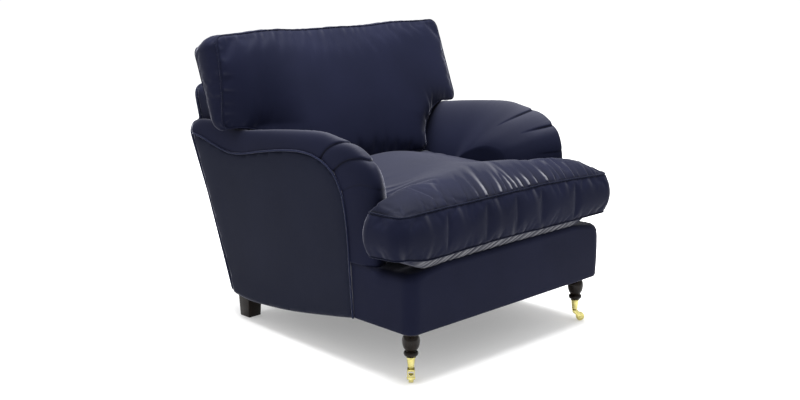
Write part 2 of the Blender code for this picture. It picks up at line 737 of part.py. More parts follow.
def make_seat_cushion(velvet, foam, brass):
    length = SEAT_REAR_SETBACK - SEAT_FRONT_SETBACK
    rows = [0.0, CUSHION_CORNER, SEAT_WING_DEPTH, 0.24, 0.36, 0.47, 0.55, 0.61, length]
    cushion = Cushion(SEAT_HALF_WIDTH, SEAT_REAR_HALF_WIDTH, SEAT_WING_DEPTH, rows,
                      SEAT_SEAM_HIGH_Z - SEAT_SEAM_LOW_Z, SEAT_CROWN, SEAT_BELLY, 0.55)
    place = Matrix.Translation((0.0, at(SEAT_FRONT_SETBACK), SEAT_SEAM_LOW_Z))
    make_cushion("seat_cushion", cushion, place, velvet, foam, brass)


def make_back_cushion(velvet, foam, brass):
    """Leans against the inside back; its own Y axis runs down the rake and its Z axis faces forwards."""
    sine = math.sin(BACK_RAKE)
    cosine = math.cos(BACK_RAKE)
    length = (BACK_CUSHION_TOP_Z - BACK_CUSHION_BOTTOM_Z) / cosine
    ears = (BACK_CUSHION_TOP_Z - BACK_CUSHION_EAR_Z) / cosine
    rows = [0.0, CUSHION_CORNER, ears * 0.55, ears, ears + 0.07, length - 0.05, length]
    cushion = Cushion(BACK_CUSHION_HALF_WIDTH, BACK_CUSHION_LOW_HALF_WIDTH, ears, rows,
                      BACK_CUSHION_THICKNESS, BACK_CUSHION_CROWN, BACK_CUSHION_REAR_CROWN,
                      length, shear=math.tan(BACK_RAKE))
    turn = Matrix(((-1, 0, 0), (0, -sine, -cosine), (0, -cosine, sine))).to_4x4()
    top = Vector((0.0, at(back_face_setback(BACK_CUSHION_TOP_Z)), BACK_CUSHION_TOP_Z))
    rear = Vector((0.0, cosine, -sine)) * BACK_CUSHION_THICKNESS
    make_cushion("back_cushion", cushion, Matrix.Translation(top + rear) @ turn, velvet, foam, brass)


# ---------------------------------------------------------------- legs and castors

def hole_profile(depth_z, top_z, radius):
    """The last points of a turned outline, down a blind hole in its top."""
    return [(radius, top_z), (radius, depth_z), (0.0003, depth_z)]


def make_front_legs(wood):
    tenon = 0.0068
    neck_z = CUP_TOP_Z + GAP
    outline = [(0.0003, CUP_BOTTOM_Z + 0.005), (tenon, CUP_BOTTOM_Z + 0.005), (tenon + 0.002, neck_z),
               (0.0120, neck_z), (0.0150, 0.0690), (0.0192, 0.0725), (0.0192, 0.0800), (0.0150, 0.0835),
               (0.0160, 0.0860), (0.0205, 0.0930), (0.0232, 0.1030), (0.0238, 0.1120), (0.0228, 0.1210),
               (0.0200, 0.1275), (0.0200, 0.1310), (0.0262, 0.1330), (0.0268, 0.1370), (0.0262, 0.1410),
               (0.0262, LEG_TOP_Z)]
    outline += hole_profile(0.118, LEG_TOP_Z, BOLT_HOLE_RADIUS)
    for side, sign in SIDES:
        leg = add_object("front_leg_" + side, turned(outline), wood)
        leg.location = (sign * FRONT_LEG_X, at(FRONT_LEG_SETBACK), 0.0)


def make_rear_legs(wood):
    for side, sign in SIDES:
        rings = []
        for z, width in ((0.0, REAR_LEG_SIDE), (REAR_LEG_TOP_Z, REAR_LEG_TOP_SIDE)):
            half = width / 2
            corners = ((-half, -half), (half, -half), (half, half), (-half, half))
            rings.append([(sign * REAR_LEG_X + dx, at(REAR_LEG_SETBACK) + dy, z) for dx, dy in corners])
        leg = add_object("rear_leg_" + side, loft(rings), wood)
        hole = turned([(BOLT_HOLE_RADIUS, 0.055), (BOLT_HOLE_RADIUS, 0.12)], 16)
        hole = add_cutter("rear_leg_hole_" + side, hole)
        hole.location = (sign * REAR_LEG_X, at(REAR_LEG_SETBACK), 0.0)
        bevel(leg, 0.0015, 1)
        cut(leg, hole)


def make_leg_bolts(steel):
    """Hanger bolts up through each leg into its block; the frame parts are drilled for them."""
    places = (("front", FRONT_LEG_X, FRONT_LEG_SETBACK, 0.1185, 0.190),
              ("rear", REAR_LEG_X, REAR_LEG_SETBACK, 0.0555, 0.135))
    for place, x, setback, low, high in places:
        for side, sign in SIDES:
            shape = [(0.0003, low), (BOLT_RADIUS, low), (BOLT_RADIUS, high - 0.006), (0.0022, high),
                     (0.0003, high)]
            bolt = add_object(f"leg_bolt_{place}_{side}", turned(shape, 16), steel)
            bolt.location = (sign * x, at(setback), 0.0)
            bore = turned([(BOLT_HOLE_RADIUS, low - 0.002), (BOLT_HOLE_RADIUS, high + 0.002)], 16)
            drill = add_cutter(f"leg_drill_{place}_{side}", bore)
            drill.location = bolt.location
            rails = [f"corner_block_{place}_{side}", f"side_rail_{side}", f"{place}_rail"]
            for name in rails:
                cut(bpy.data.objects[name], drill)


def make_castor_cup(side, sign, brass):
    """The socket that is pushed over the foot of the leg, with a bore in its floor for the pin."""
    bore = PIN_RADIUS + BEARING_GAP
    profile = [(bore, CUP_BOTTOM_Z), (0.0086, CUP_BOTTOM_Z), (0.0092, CUP_BOTTOM_Z + 0.003),
               (0.0117, CUP_TOP_Z - 0.003), (0.0125, CUP_TOP_Z - 0.002), (0.0125, CUP_TOP_Z),
               (0.0092, CUP_TOP_Z), (0.0073, CUP_FLOOR_Z), (bore, CUP_FLOOR_Z)]
    shape = loft([circle(radius, z, 24) for radius, z in profile])
    caps = [f for f in shape.faces if len(f.verts) > 4]
    bmesh.ops.delete(shape, geom=caps, context="FACES_ONLY")
    rims = [e for e in shape.edges if e.is_boundary]
    bmesh.ops.bridge_loops(shape, edges=rims)
    cup = add_object("castor_cup_" + side, shape, brass)
    cup.location = (sign * FRONT_LEG_X, at(FRONT_LEG_SETBACK), 0.0)


def fork_profile():
    profile = [(-0.0075, FORK_TOP_Z), (-0.0075, 0.0290), (-0.0030, 0.0240), (CASTOR_TRAIL - 0.0060, 0.0140)]
    for turn in (-1.1, -0.4, 0.3, 1.0, 1.7):
        profile.append((CASTOR_TRAIL + 0.0055 * math.sin(turn), WHEEL_RADIUS - 0.0055 * math.cos(turn)))
    return profile + [(0.0110, 0.0300), (0.0070, FORK_TOP_Z)]


def across_wheel(radius, reach, count=16):
    """A cylinder along the wheel's axis."""
    rings = []
    for y in (-reach, reach):
        rings.append([(CASTOR_TRAIL + a, y, WHEEL_RADIUS + b) for a, b, _ in circle(radius, 0.0, count)])
    return loft(rings)


def make_castor_fork(side, brass):
    """The fork with its wheel slot and bores, and the pin that it turns on; returns all its objects."""
    pin_profile = [(0.0003, 0.0300), (PIN_RADIUS, 0.0300), (PIN_RADIUS, CUP_FLOOR_Z + GAP),
                   (0.0052, CUP_FLOOR_Z + GAP), (0.0052, CUP_FLOOR_Z + 0.0014),
                   (0.0003, CUP_FLOOR_Z + 0.0014)]
    pin = add_object("castor_pin_" + side, turned(pin_profile, 16), brass)
    cheeks = loft([[(x, y, z) for x, z in fork_profile()] for y in (-FORK_HALF_WIDTH, FORK_HALF_WIDTH)])
    fork = add_object("castor_fork_" + side, cheeks, brass)
    slot_half = WHEEL_WIDTH / 2 + 0.0006
    slot = loft([[(-0.004, y, -0.01), (0.04, y, -0.01), (0.04, y, 0.0288), (-0.004, y, 0.0288)]
                 for y in (-slot_half, slot_half)])
    pin_bore = turned([(PIN_RADIUS + BEARING_GAP, 0.0295), (PIN_RADIUS + BEARING_GAP, 0.04)], 16)
    axle_bore = across_wheel(AXLE_RADIUS + BEARING_GAP, 0.02)
    cutters = [add_cutter("castor_slot_" + side, slot), add_cutter("castor_pin_bore_" + side, pin_bore),
               add_cutter("castor_axle_bore_" + side, axle_bore)]
    for cutter in cutters:
        cut(fork, cutter)
    return [pin, fork] + cutters


def make_castor_wheel(side, brass):
    """The wheel and the axle that it turns on; returns their objects."""
    axle = add_object("castor_axle_" + side, across_wheel(AXLE_RADIUS, FORK_HALF_WIDTH + 0.0012), brass)
    wheel = add_object("castor_wheel_" + side, across_wheel(WHEEL_RADIUS, WHEEL_WIDTH / 2, 32), brass)
    bevel(wheel, 0.0016, 2)
    bore = add_cutter("castor_wheel_bore_" + side, across_wheel(AXLE_RADIUS + BEARING_GAP, 0.02))
    cut(wheel, bore)
    return [axle, wheel, bore]


def make_castor(side, sign, brass):
    """Cup on the leg; pin, fork, axle and wheel under it, trailing towards the castor's heading."""
    make_castor_cup(side, sign, brass)
    swivel = bpy.data.objects.new("castor_swivel_" + side, None)
    bpy.context.scene.collection.objects.link(swivel)
    swivel.location = (sign * FRONT_LEG_X, at(FRONT_LEG_SETBACK), 0.0)
    swivel.rotation_euler = (0.0, 0.0, CASTOR_HEADINGS[side])
    for piece in make_castor_fork(side, brass) + make_castor_wheel(side, brass):
        piece.parent = swivel


# ---------------------------------------------------------------- the chair

def main():
    clear_scene()
    beech = make_material("Beech", (0.62, 0.45, 0.28), 0.6)
    velvet = make_material("Navy velvet", (0.022, 0.026, 0.062), 0.75)
    cloth = make_material("Black lining", (0.03, 0.03, 0.032), 0.9)
    foam = make_material("Cushion filling", (0.85, 0.83, 0.78), 0.9)
    steel = make_material("Spring steel", (0.45, 0.45, 0.47), 0.35, 1.0)
    wood = make_material("Dark stained wood", (0.022, 0.014, 0.010), 0.3)
    brass = make_material("Brass", (0.80, 0.66, 0.30), 0.22, 1.0)
    make_rails(beech)
    make_corner_blocks(beech)
    make_posts_and_arm_rails(beech)
    make_back_frame(beech)
    make_springs(steel)
    make_front_border(velvet)
    make_seat_deck(cloth)
    make_arms(velvet)
    make_outside_panels(velvet)
    make_arm_piping(velvet)
    make_inside_back(velvet)
    make_outside_back(velvet)
    make_dust_cover(cloth)
    make_seat_cushion(velvet, foam, brass)
    make_back_cushion(velvet, foam, brass)
    make_front_legs(wood)
    make_rear_legs(wood)
    make_leg_bolts(steel)
    for side, sign in SIDES:
        make_castor(side, sign, brass)


main()
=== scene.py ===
"""Looks of an upholstered armchair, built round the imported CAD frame.

Metres, +Z up, the chair faces -Y. A setback is a distance backwards from the front border's face.
"""

import math
import random

import bmesh
import bpy
import numpy as np
from mathutils import Matrix, Vector
from mathutils.geometry import delaunay_2d_cdt
from mathutils.kdtree import KDTree


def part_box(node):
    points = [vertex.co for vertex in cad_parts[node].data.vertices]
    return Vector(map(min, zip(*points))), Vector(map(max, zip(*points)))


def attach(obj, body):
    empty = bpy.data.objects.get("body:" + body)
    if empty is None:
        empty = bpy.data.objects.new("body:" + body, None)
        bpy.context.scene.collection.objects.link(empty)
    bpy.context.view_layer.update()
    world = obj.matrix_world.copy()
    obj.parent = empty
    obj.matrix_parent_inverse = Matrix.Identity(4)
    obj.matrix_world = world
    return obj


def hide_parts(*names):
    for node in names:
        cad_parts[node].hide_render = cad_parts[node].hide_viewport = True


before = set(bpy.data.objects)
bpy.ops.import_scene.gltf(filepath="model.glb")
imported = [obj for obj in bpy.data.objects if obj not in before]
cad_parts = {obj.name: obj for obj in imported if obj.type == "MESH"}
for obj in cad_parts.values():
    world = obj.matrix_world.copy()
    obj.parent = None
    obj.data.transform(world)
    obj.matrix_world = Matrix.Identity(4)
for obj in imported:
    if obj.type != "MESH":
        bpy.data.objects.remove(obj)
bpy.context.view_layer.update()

# Driving dimensions, from the frame where it has them
FRONT_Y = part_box("front_border")[0].y
BORDER_HALF_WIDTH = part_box("front_border")[1].x
UNDERSIDE_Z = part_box("front_border")[0].z
SHELF_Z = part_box("front_border")[1].z
REAR_HALF_WIDTH = 0.378
SIDES = (("left", -1), ("right", 1))

# Side view of the upholstery: (setback, height)
UNDERSIDE_CURVE = [(0.222, 0.144), (0.33, 0.123), (0.51, 0.092), (0.66, 0.076), (0.74, 0.073), (0.806, 0.080)]
RIDGE_CURVE = [(0.139, 0.302), (0.139, 0.40), (0.139, 0.50), (0.150, 0.553), (0.173, 0.586), (0.225, 0.619),
               (0.30, 0.634), (0.38, 0.641), (0.56, 0.622), (0.72, 0.602), (0.83, 0.612), (0.90, 0.610),
               (0.944, 0.592)]
PIPING_CURVE = [(0.222, 0.144), (0.230, 0.254), (0.236, 0.366), (0.249, 0.459), (0.271, 0.513),
                (0.303, 0.547), (0.354, 0.570), (0.415, 0.578), (0.502, 0.571), (0.606, 0.552),
                (0.700, 0.532), (0.765, 0.528), (0.834, 0.540), (0.885, 0.553), (0.935, 0.562)]
PIPING_RADIUS = 0.0028
ARM_INNER_X = 0.270
ARM_RIDGE_X_FRONT = 0.382
ARM_RIDGE_X_REAR = 0.386
FAN_CENTRE = (0.50, 0.40)
PLEAT_CENTRE = (0.52, 0.456)
PLEAT_ANGLES = (33.1, 21.0, 8.1)
PLEAT_DEPTHS = (0.0050, 0.0050, 0.0016)

BORDER_ROLL = 0.0185
# Light grey that the velvet's colour turns towards where a painted highlight or sheen is painted into it.
PAINTED_HIGHLIGHT = (0.34, 0.34, 0.36)

OUTSIDE_BACK_SETBACK = 0.806
OUTSIDE_BACK_Z = 0.081
OUTSIDE_BACK_SLOPE = 0.30

# The raked plane of the back cushion's face, through one point
BACK_RAKE = math.radians(20.85)
BACK_FACE_SETBACK = 0.597
BACK_FACE_Z = 0.458
BACK_CUSHION_ROOM = 0.134

# Where the arm piping meets the underside, and the flare of the outside panels above it
SIDE_SEAM_SETBACK = 0.222
FLARE_X = 0.412
FLARE_HEIGHT = 0.43
COVER_THICKNESS = 0.003


# ---------------------------------------------------------------- small geometry helpers

def clamp01(value):
    return min(max(value, 0.0), 1.0)


def smooth01(value):
    value = clamp01(value)
    return value * value * (3 - 2 * value)


def smooth_share(values):
    """The same for an array."""
    values = np.clip(values, 0, 1)
    return values * values * (3 - 2 * values)


def at(setback):
    return FRONT_Y + setback


def catmull(points, steps):
    """Smooth curve through points of any dimension, as an array."""
    p = np.array([points[0]] + list(points) + [points[-1]], float)
    out = []
    for a, b, c, d in zip(p, p[1:], p[2:], p[3:]):
        for t in np.arange(steps) / steps:
            out.append(0.5 * (2 * b + (c - a) * t + (2 * a - 5 * b + 4 * c - d) * t ** 2
                              + (3 * b - a - 3 * c + d) * t ** 3))
    return np.array(out + [p[-1]])


def resample(points, spacing):
    """The polyline with points at an even spacing."""
    points = np.asarray(points, float)
    lengths = np.r_[0, np.cumsum(np.linalg.norm(np.diff(points, axis=0), axis=1))]
    count = max(2, int(round(lengths[-1] / spacing)) + 1)
    at_lengths = np.linspace(0, lengths[-1], count)
    return np.stack([np.interp(at_lengths, lengths, points[:, k]) for k in range(points.shape[1])], 1)


def ray_hit(curve, origin, direction):
    """Where a ray in the side view crosses the curve."""
    o = Vector(origin)
    d = Vector(direction)
    for a, b in zip(curve, curve[1:]):
        e = Vector(b) - Vector(a)
        cross = d.x * e.y - d.y * e.x
        if abs(cross) < 1e-12:
            continue
        w = Vector(a) - o
        along = (w.x * e.y - w.y * e.x) / cross
        share = (w.x * d.y - w.y * d.x) / cross
        if along > 0 and -1e-9 <= share <= 1 + 1e-9:
            return o + d * along
    raise ValueError("the ray misses the curve")


def outside_back_setback(z):
    return OUTSIDE_BACK_SETBACK + OUTSIDE_BACK_SLOPE * (z - OUTSIDE_BACK_Z)


def back_face_setback(z):
    return BACK_FACE_SETBACK + math.tan(BACK_RAKE) * (z - BACK_FACE_Z)


def side_x(setback, z):
    rearward = clamp01((setback - SIDE_SEAM_SETBACK) / 0.58)
    low = BORDER_HALF_WIDTH + (REAR_HALF_WIDTH - BORDER_HALF_WIDTH) * rearward
    high = FLARE_X - 0.004 * rearward
    return low + (high - low) * clamp01((z - UNDERSIDE_Z) / FLARE_HEIGHT)


def raked(setback, z):
    """Slants the rear of the arm, so that its end lies in the raked plane of the outside back."""
    turn = 0.52
    if setback < turn:
        return setback
    share = (setback - turn) / (RIDGE_CURVE[-1][0] - turn)
    return turn + (outside_back_setback(z) - 0.002 - turn) * share


RIDGE = catmull(RIDGE_CURVE, 12)
PIPING = catmull(PIPING_CURVE, 12)
UNDERSIDE = catmull(UNDERSIDE_CURVE, 8)


# ---------------------------------------------------------------- objects

def make_object(name, vertices, faces, material):
    mesh = bpy.data.meshes.new(name)
    mesh.from_pydata([tuple(v) for v in vertices], [], [tuple(f) for f in faces])
    mesh.validate()
    mesh.materials.append(material)
    mesh.shade_smooth()
    obj = bpy.data.objects.new(name, mesh)
    bpy.context.scene.collection.objects.link(obj)
    return obj


def set_painted_light(obj, values):
    """Stores the painted light at each vertex: below 0 painted shade, as in seams and creases, above 0 a
    painted highlight or sheen.
    """
    attribute = obj.data.attributes.new("nap", "FLOAT", "POINT")
    attribute.data.foreach_set("value", np.asarray(values, np.float32))


def outward(obj):
    bm = bmesh.new()
    bm.from_mesh(obj.data)
    bmesh.ops.remove_doubles(bm, verts=bm.verts, dist=1e-6)
    bmesh.ops.recalc_face_normals(bm, faces=bm.faces)
    bm.to_mesh(obj.data)
    bm.free()
    return obj


def apply_modifiers(obj):
    graph = bpy.context.evaluated_depsgraph_get()
    mesh = bpy.data.meshes.new_from_object(obj.evaluated_get(graph))
    obj.modifiers.clear()
    obj.data = mesh
    mesh.shade_smooth()
    return obj


def thicken(obj, thickness):
    modifier = obj.modifiers.new("Thickness", "SOLIDIFY")
    modifier.thickness = thickness
    modifier.offset = -1.0
    return apply_modifiers(obj)


def place(obj, body, slot, *nodes):
    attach(obj, body)
    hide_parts(*nodes)
    return obj


def lattice(points, wrap_u=False, wrap_v=False):
    """Vertices and quads of a grid of points[u][v]."""
    points = np.asarray(points, float)
    nu, nv = points.shape[:2]
    faces = []
    for u in range(nu if wrap_u else nu - 1):
        for v in range(nv if wrap_v else nv - 1):
            u2, v2 = (u + 1) % nu, (v + 1) % nv
            faces.append((u * nv + v, u2 * nv + v, u2 * nv + v2, u * nv + v2))
    return points.reshape(-1, 3), faces


def sweep(path, radius, sides=10, closed=False, taper=None):
    """Vertices and faces of a round tube along a 3D path, with closed ends."""
    path = np.asarray(path, float)
    count = len(path)
    ahead = np.roll(path, -1, 0) if closed else np.vstack([path[1:], path[-1:]])
    behind = np.roll(path, 1, 0) if closed else np.vstack([path[:1], path[:-1]])
    tangents = ahead - behind
    tangents /= np.linalg.norm(tangents, axis=1)[:, None]
    normal = np.cross(tangents[0], (0.31, 0.17, 0.93))
    rings = []
    for i in range(count):
        normal = normal - tangents[i] * normal.dot(tangents[i])
        normal /= np.linalg.norm(normal)
        side = np.cross(tangents[i], normal)
        r = radius * (taper[i] if taper is not None else 1.0)
        rings.append([path[i] + r * (math.cos(t) * normal + math.sin(t) * side)
                      for t in np.arange(sides) * 2 * math.pi / sides])
    vertices, faces = lattice(rings, wrap_u=closed, wrap_v=True)
    if not closed:
        faces.append(tuple(range(sides)))
        faces.append(tuple(range((count - 1) * sides, count * sides)))
    return vertices, faces


def tube(name, path, radius, material, **options):
    vertices, faces = sweep(path, radius, **options)
    return outward(make_object(name, vertices, faces, material))


def lathe(profile, segments=64):
    """Vertices and faces of a turned shape about Z, from (radius, z) points."""
    rings = [[(r * math.cos(t), r * math.sin(t), z) for t in np.arange(segments) * 2 * math.pi / segments]
             for r, z in profile]
    return lattice(rings, wrap_v=True)


def fill(outline, spacing):
    """Triangles over the inside of a 2D outline, with points at this spacing inside it."""
    outline = np.asarray(outline, float)
    low, high = outline.min(0), outline.max(0)
    columns, rows = np.ceil((high - low) / spacing).astype(int)
    i, j = np.meshgrid(np.arange(columns + 1), np.arange(1, rows + 1))
    grid = np.stack([low[0] + (i + 0.5 * (j % 2)) * spacing, low[1] + j * spacing], -1).reshape(-1, 2)
    grid = grid[inside(outline, grid) & (distance_to(outline, grid) > 0.45 * spacing)]
    points = [Vector(p) for p in np.vstack([outline, grid])]
    edges = [(i, (i + 1) % len(outline)) for i in range(len(outline))]
    found = delaunay_2d_cdt(points, edges, [], 1, 1e-7)
    return np.array([tuple(v) for v in found[0]]), [tuple(f) for f in found[2]]


def inside(outline, points):
    """Which 2D points lie inside a closed outline."""
    crossings = np.zeros(len(points), int)
    for (x, y), (x2, y2) in zip(outline, np.roll(outline, -1, 0)):
        if y == y2:
            continue
        level = (y > points[:, 1]) != (y2 > points[:, 1])
        crossings += level & (points[:, 0] < (x2 - x) * (points[:, 1] - y) / (y2 - y) + x)
    return crossings % 2 == 1


def distance_to(outline, points):
    """Distance of 2D points to a closed outline."""
    a = np.asarray(outline, float)
    b = np.roll(a, -1, 0)
    e = b - a
    length2 = (e ** 2).sum(1) + 1e-18
    best = np.full(len(points), 1e9)
    for p0, d, l2 in zip(a, e, length2):
        t = np.clip(((points - p0) @ d) / l2, 0, 1)
        best = np.minimum(best, np.linalg.norm(points - p0 - t[:, None] * d, axis=1))
    return best


# ---------------------------------------------------------------- materials

def shader_of(name):
    material = bpy.data.materials.new(name)
    material.use_nodes = True
    nodes = material.node_tree.nodes
    return material, nodes, material.node_tree.links, nodes["Principled BSDF"]


def object_noise(nodes, links, scale, detail=3.0, stretch=None):
    coordinates = nodes.new("ShaderNodeTexCoord")
    noise = nodes.new("ShaderNodeTexNoise")
    noise.inputs["Scale"].default_value = scale
    noise.inputs["Detail"].default_value = detail
    source = coordinates.outputs["Object"]
    if stretch:
        mapping = nodes.new("ShaderNodeMapping")
        mapping.inputs["Scale"].default_value = stretch
        links.new(source, mapping.inputs["Vector"])
        source = mapping.outputs["Vector"]
    links.new(source, noise.inputs["Vector"])
    return noise.outputs["Fac"]


def ramp(nodes, links, source, stops):
    node = nodes.new("ShaderNodeValToRGB")
    elements = node.color_ramp.elements
    while len(elements) < len(stops):
        elements.new(0.5)
    for element, (position, colour) in zip(elements, stops):
        element.position = position
        element.color = (*colour, 1.0)
    links.new(source, node.inputs["Fac"])
    return node.outputs["Color"]


def bump(nodes, links, shader, sources):
    """A chain of bumps from (height, strength, distance)."""
    previous = None
    for height, strength, distance in sources:
        node = nodes.new("ShaderNodeBump")
        node.inputs["Strength"].default_value = strength
        node.inputs["Distance"].default_value = distance
        links.new(height, node.inputs["Height"])
        if previous:
            links.new(previous, node.inputs["Normal"])
        previous = node.outputs["Normal"]
    links.new(previous, shader.inputs["Normal"])


def mix_colour(nodes, links, source, full_at, colour, other):
    """Turns a colour towards another as the source goes from 0 to the value full_at."""
    share = nodes.new("ShaderNodeMapRange")
    share.inputs["From Max"].default_value = full_at
    links.new(source, share.inputs["Value"])
    mixed = nodes.new("ShaderNodeMix")
    mixed.data_type = "RGBA"
    links.new(share.outputs["Result"], mixed.inputs["Factor"])
    links.new(colour, mixed.inputs["A"])
    mixed.inputs["B"].default_value = (*other, 1.0)
    return mixed.outputs["Result"]


def velvet(name, dark, light, sheen=0.26, sheen_roughness=0.24, roughness=0.7):
    """Short pile: patches that lie slightly differently, a fine pile texture, and a soft sheen at grazing
    angles.

    The point attribute holds light and shade painted into the colour, from -1 to 1: below 0 painted shade in
    seams, creases and between tucks, above 0 a painted highlight or sheen.
    """
    material, nodes, links, shader = shader_of(name)
    patches = object_noise(nodes, links, 5.0, 2.0)
    colour = ramp(nodes, links, patches, [(0.30, dark), (0.70, light)])
    nap = nodes.new("ShaderNodeAttribute")
    nap.attribute_name = "nap"
    # Painted shade: below 0 the attribute turns the colour towards near black.
    shaded = mix_colour(nodes, links, nap.outputs["Fac"], -1.0, colour, (0.0006, 0.0007, 0.0012))
    # Painted highlight: above 0 it turns the colour towards a light grey.
    highlighted = mix_colour(nodes, links, nap.outputs["Fac"], 1.0, shaded, PAINTED_HIGHLIGHT)
    links.new(highlighted, shader.inputs["Base Color"])
    fine = object_noise(nodes, links, 1400.0, 1.0)
    brushed = object_noise(nodes, links, 38.0, 4.0, (1.0, 1.0, 0.45))
    bump(nodes, links, shader, [(brushed, 0.10, 0.004), (fine, 0.25, 0.0006)])
    shader.inputs["Roughness"].default_value = roughness
    shader.inputs["Specular IOR Level"].default_value = 0.05
    shader.inputs["Sheen Weight"].default_value = sheen
    shader.inputs["Sheen Roughness"].default_value = sheen_roughness
    shader.inputs["Sheen Tint"].default_value = (0.78, 0.79, 0.92, 1.0)
    return material


def wood(name, dark, light, roughness, grain_scale=26.0, coat=0.0):
    material, nodes, links, shader = shader_of(name)
    grain = object_noise(nodes, links, grain_scale, 6.0, (6.0, 6.0, 0.7))
    colour = ramp(nodes, links, grain, [(0.34, dark), (0.66, light)])
    links.new(colour, shader.inputs["Base Color"])
    pores = object_noise(nodes, links, 340.0, 3.0, (3.0, 3.0, 0.25))
    bump(nodes, links, shader, [(grain, 0.10, 0.001), (pores, 0.12, 0.0004)])
    shader.inputs["Roughness"].default_value = roughness
    shader.inputs["Specular IOR Level"].default_value = 0.11
    shader.inputs["Coat Weight"].default_value = coat
    shader.inputs["Coat Roughness"].default_value = 0.12
    return material


def metal(name, colour, worn, roughness):
    material, nodes, links, shader = shader_of(name)
    wear = object_noise(nodes, links, 90.0, 4.0)
    links.new(ramp(nodes, links, wear, [(0.35, colour), (0.75, worn)]), shader.inputs["Base Color"])
    bump(nodes, links, shader, [(object_noise(nodes, links, 900.0, 2.0), 0.05, 0.0002)])
    shader.inputs["Metallic"].default_value = 1.0
    shader.inputs["Roughness"].default_value = roughness
    return material


def woven(name, dark, light):
    """Plain woven cloth: two crossed sets of threads."""
    material, nodes, links, shader = shader_of(name)
    coordinates = nodes.new("ShaderNodeTexCoord")
    heights = []
    for axis in ("X", "Y"):
        wave = nodes.new("ShaderNodeTexWave")
        wave.bands_direction = axis
        wave.inputs["Scale"].default_value = 260.0
        wave.inputs["Distortion"].default_value = 0.6
        links.new(coordinates.outputs["Object"], wave.inputs["Vector"])
        heights.append(wave.outputs["Fac"])
    colour = ramp(nodes, links, object_noise(nodes, links, 420.0, 2.0), [(0.3, dark), (0.7, light)])
    links.new(colour, shader.inputs["Base Color"])
    bump(nodes, links, shader, [(heights[0], 0.3, 0.0004), (heights[1], 0.3, 0.0004)])
    shader.inputs["Roughness"].default_value = 0.9
    return material


NAVY = velvet("Navy velvet", (0.0040, 0.0050, 0.0142), (0.0053, 0.0064, 0.0178))
# Greyer copy of the same navy velvet, with the light that falls on the outside panels painted into its
# colour.
NAVY_SIDE_PAINTED_LIGHT = velvet("Navy velvet, outside panels, painted side light", (0.0046, 0.0058, 0.0135), (0.0058, 0.0071, 0.0160),
                   sheen=0.22)
# Lighter copy of the same navy velvet for the welts: a painted highlight along the piping.
PIPING_CLOTH_PAINTED_HIGHLIGHT = velvet("Navy velvet, piping, painted highlight", (0.0070, 0.0090, 0.0230), (0.0090, 0.0112, 0.0280), sheen=0.6)
# Darker copy of the same navy velvet for the seat cushion's welts: painted shade in the seams.
SEAM_CLOTH_PAINTED_SHADE = velvet("Navy velvet, cushion welts, painted shade", (0.0030, 0.0042, 0.0120), (0.0040, 0.0052, 0.0150),
                    sheen=0.25)
LINING = woven("Black lining", (0.010, 0.010, 0.011), (0.022, 0.022, 0.024))
BEECH = wood("Beech", (0.50, 0.34, 0.20), (0.66, 0.49, 0.31), 0.6)
DARK_WOOD = wood("Dark stained wood", (0.0030, 0.0017, 0.0012), (0.0070, 0.0040, 0.0026), 0.20, coat=0.04)
BRASS = metal("Polished brass", (0.60, 0.53, 0.18), (0.70, 0.64, 0.29), 0.24)
ZIP_BRASS = metal("Zip brass", (0.42, 0.32, 0.14), (0.52, 0.42, 0.22), 0.35)
STEEL = metal("Spring steel", (0.42, 0.42, 0.44), (0.52, 0.52, 0.54), 0.35)


# ---------------------------------------------------------------- arms

def arm_rays():
    """Matched side-view points along the arm: ridge point, outer seam point and direction between them."""
    centre = Vector(FAN_CENTRE)
    rays = []
    ridge = [tuple(p) for p in RIDGE]
    piping = [tuple(p) for p in PIPING]
    for z in np.linspace(SHELF_Z, centre.y, 18, endpoint=False):
        rays.append((Vector((RIDGE_CURVE[0][0], z)), Vector((1.0, 0.0))))
    for angle in np.linspace(0.0, math.pi / 2, 260, endpoint=False):
        direction = Vector((-math.cos(angle), math.sin(angle)))
        rays.append((ray_hit(ridge, centre, direction), -direction))
    for s in np.linspace(centre.x, RIDGE_CURVE[-1][0], 64):
        rays.append((ray_hit(ridge, (s, 0.2), (0.0, 1.0)), Vector((0.0, -1.0))))
    matched = []
    for start, direction in rays:
        seam = ray_hit(piping, start - direction * 0.001, direction) if start.x < 0.934 else None
        if seam is None:
            seam = Vector((start.x, PIPING_CURVE[-1][1]))
        matched.append((start, seam, direction))
    return matched


def pleat(s, z, lateral):
    """How deep the tucks are that take up the cover's fullness round the arm's nose, and how much painted
    shade lies in their creases.
    """
    dx = PLEAT_CENTRE[0] - s
    dz = z - PLEAT_CENTRE[1]
    radius = math.hypot(dx, dz)
    angle = math.degrees(math.atan2(dz, dx)) - 3.0 * math.sin(math.pi * clamp01(lateral))
    fade = smooth01((1.50 - lateral) / 0.35)
    depth = dark = 0.0
    for centre, deepest in zip(PLEAT_ANGLES, PLEAT_DEPTHS):
        gap = math.radians(angle - centre) * radius
        depth += deepest * fade * math.exp(-abs(gap / (0.0018 if gap > 0 else 0.011)))
        # Painted shade along each crease.
        dark += 0.8 * deepest / PLEAT_DEPTHS[0] * fade * math.exp(-(gap / 0.0016) ** 2)
    return depth, min(dark, 1.0)


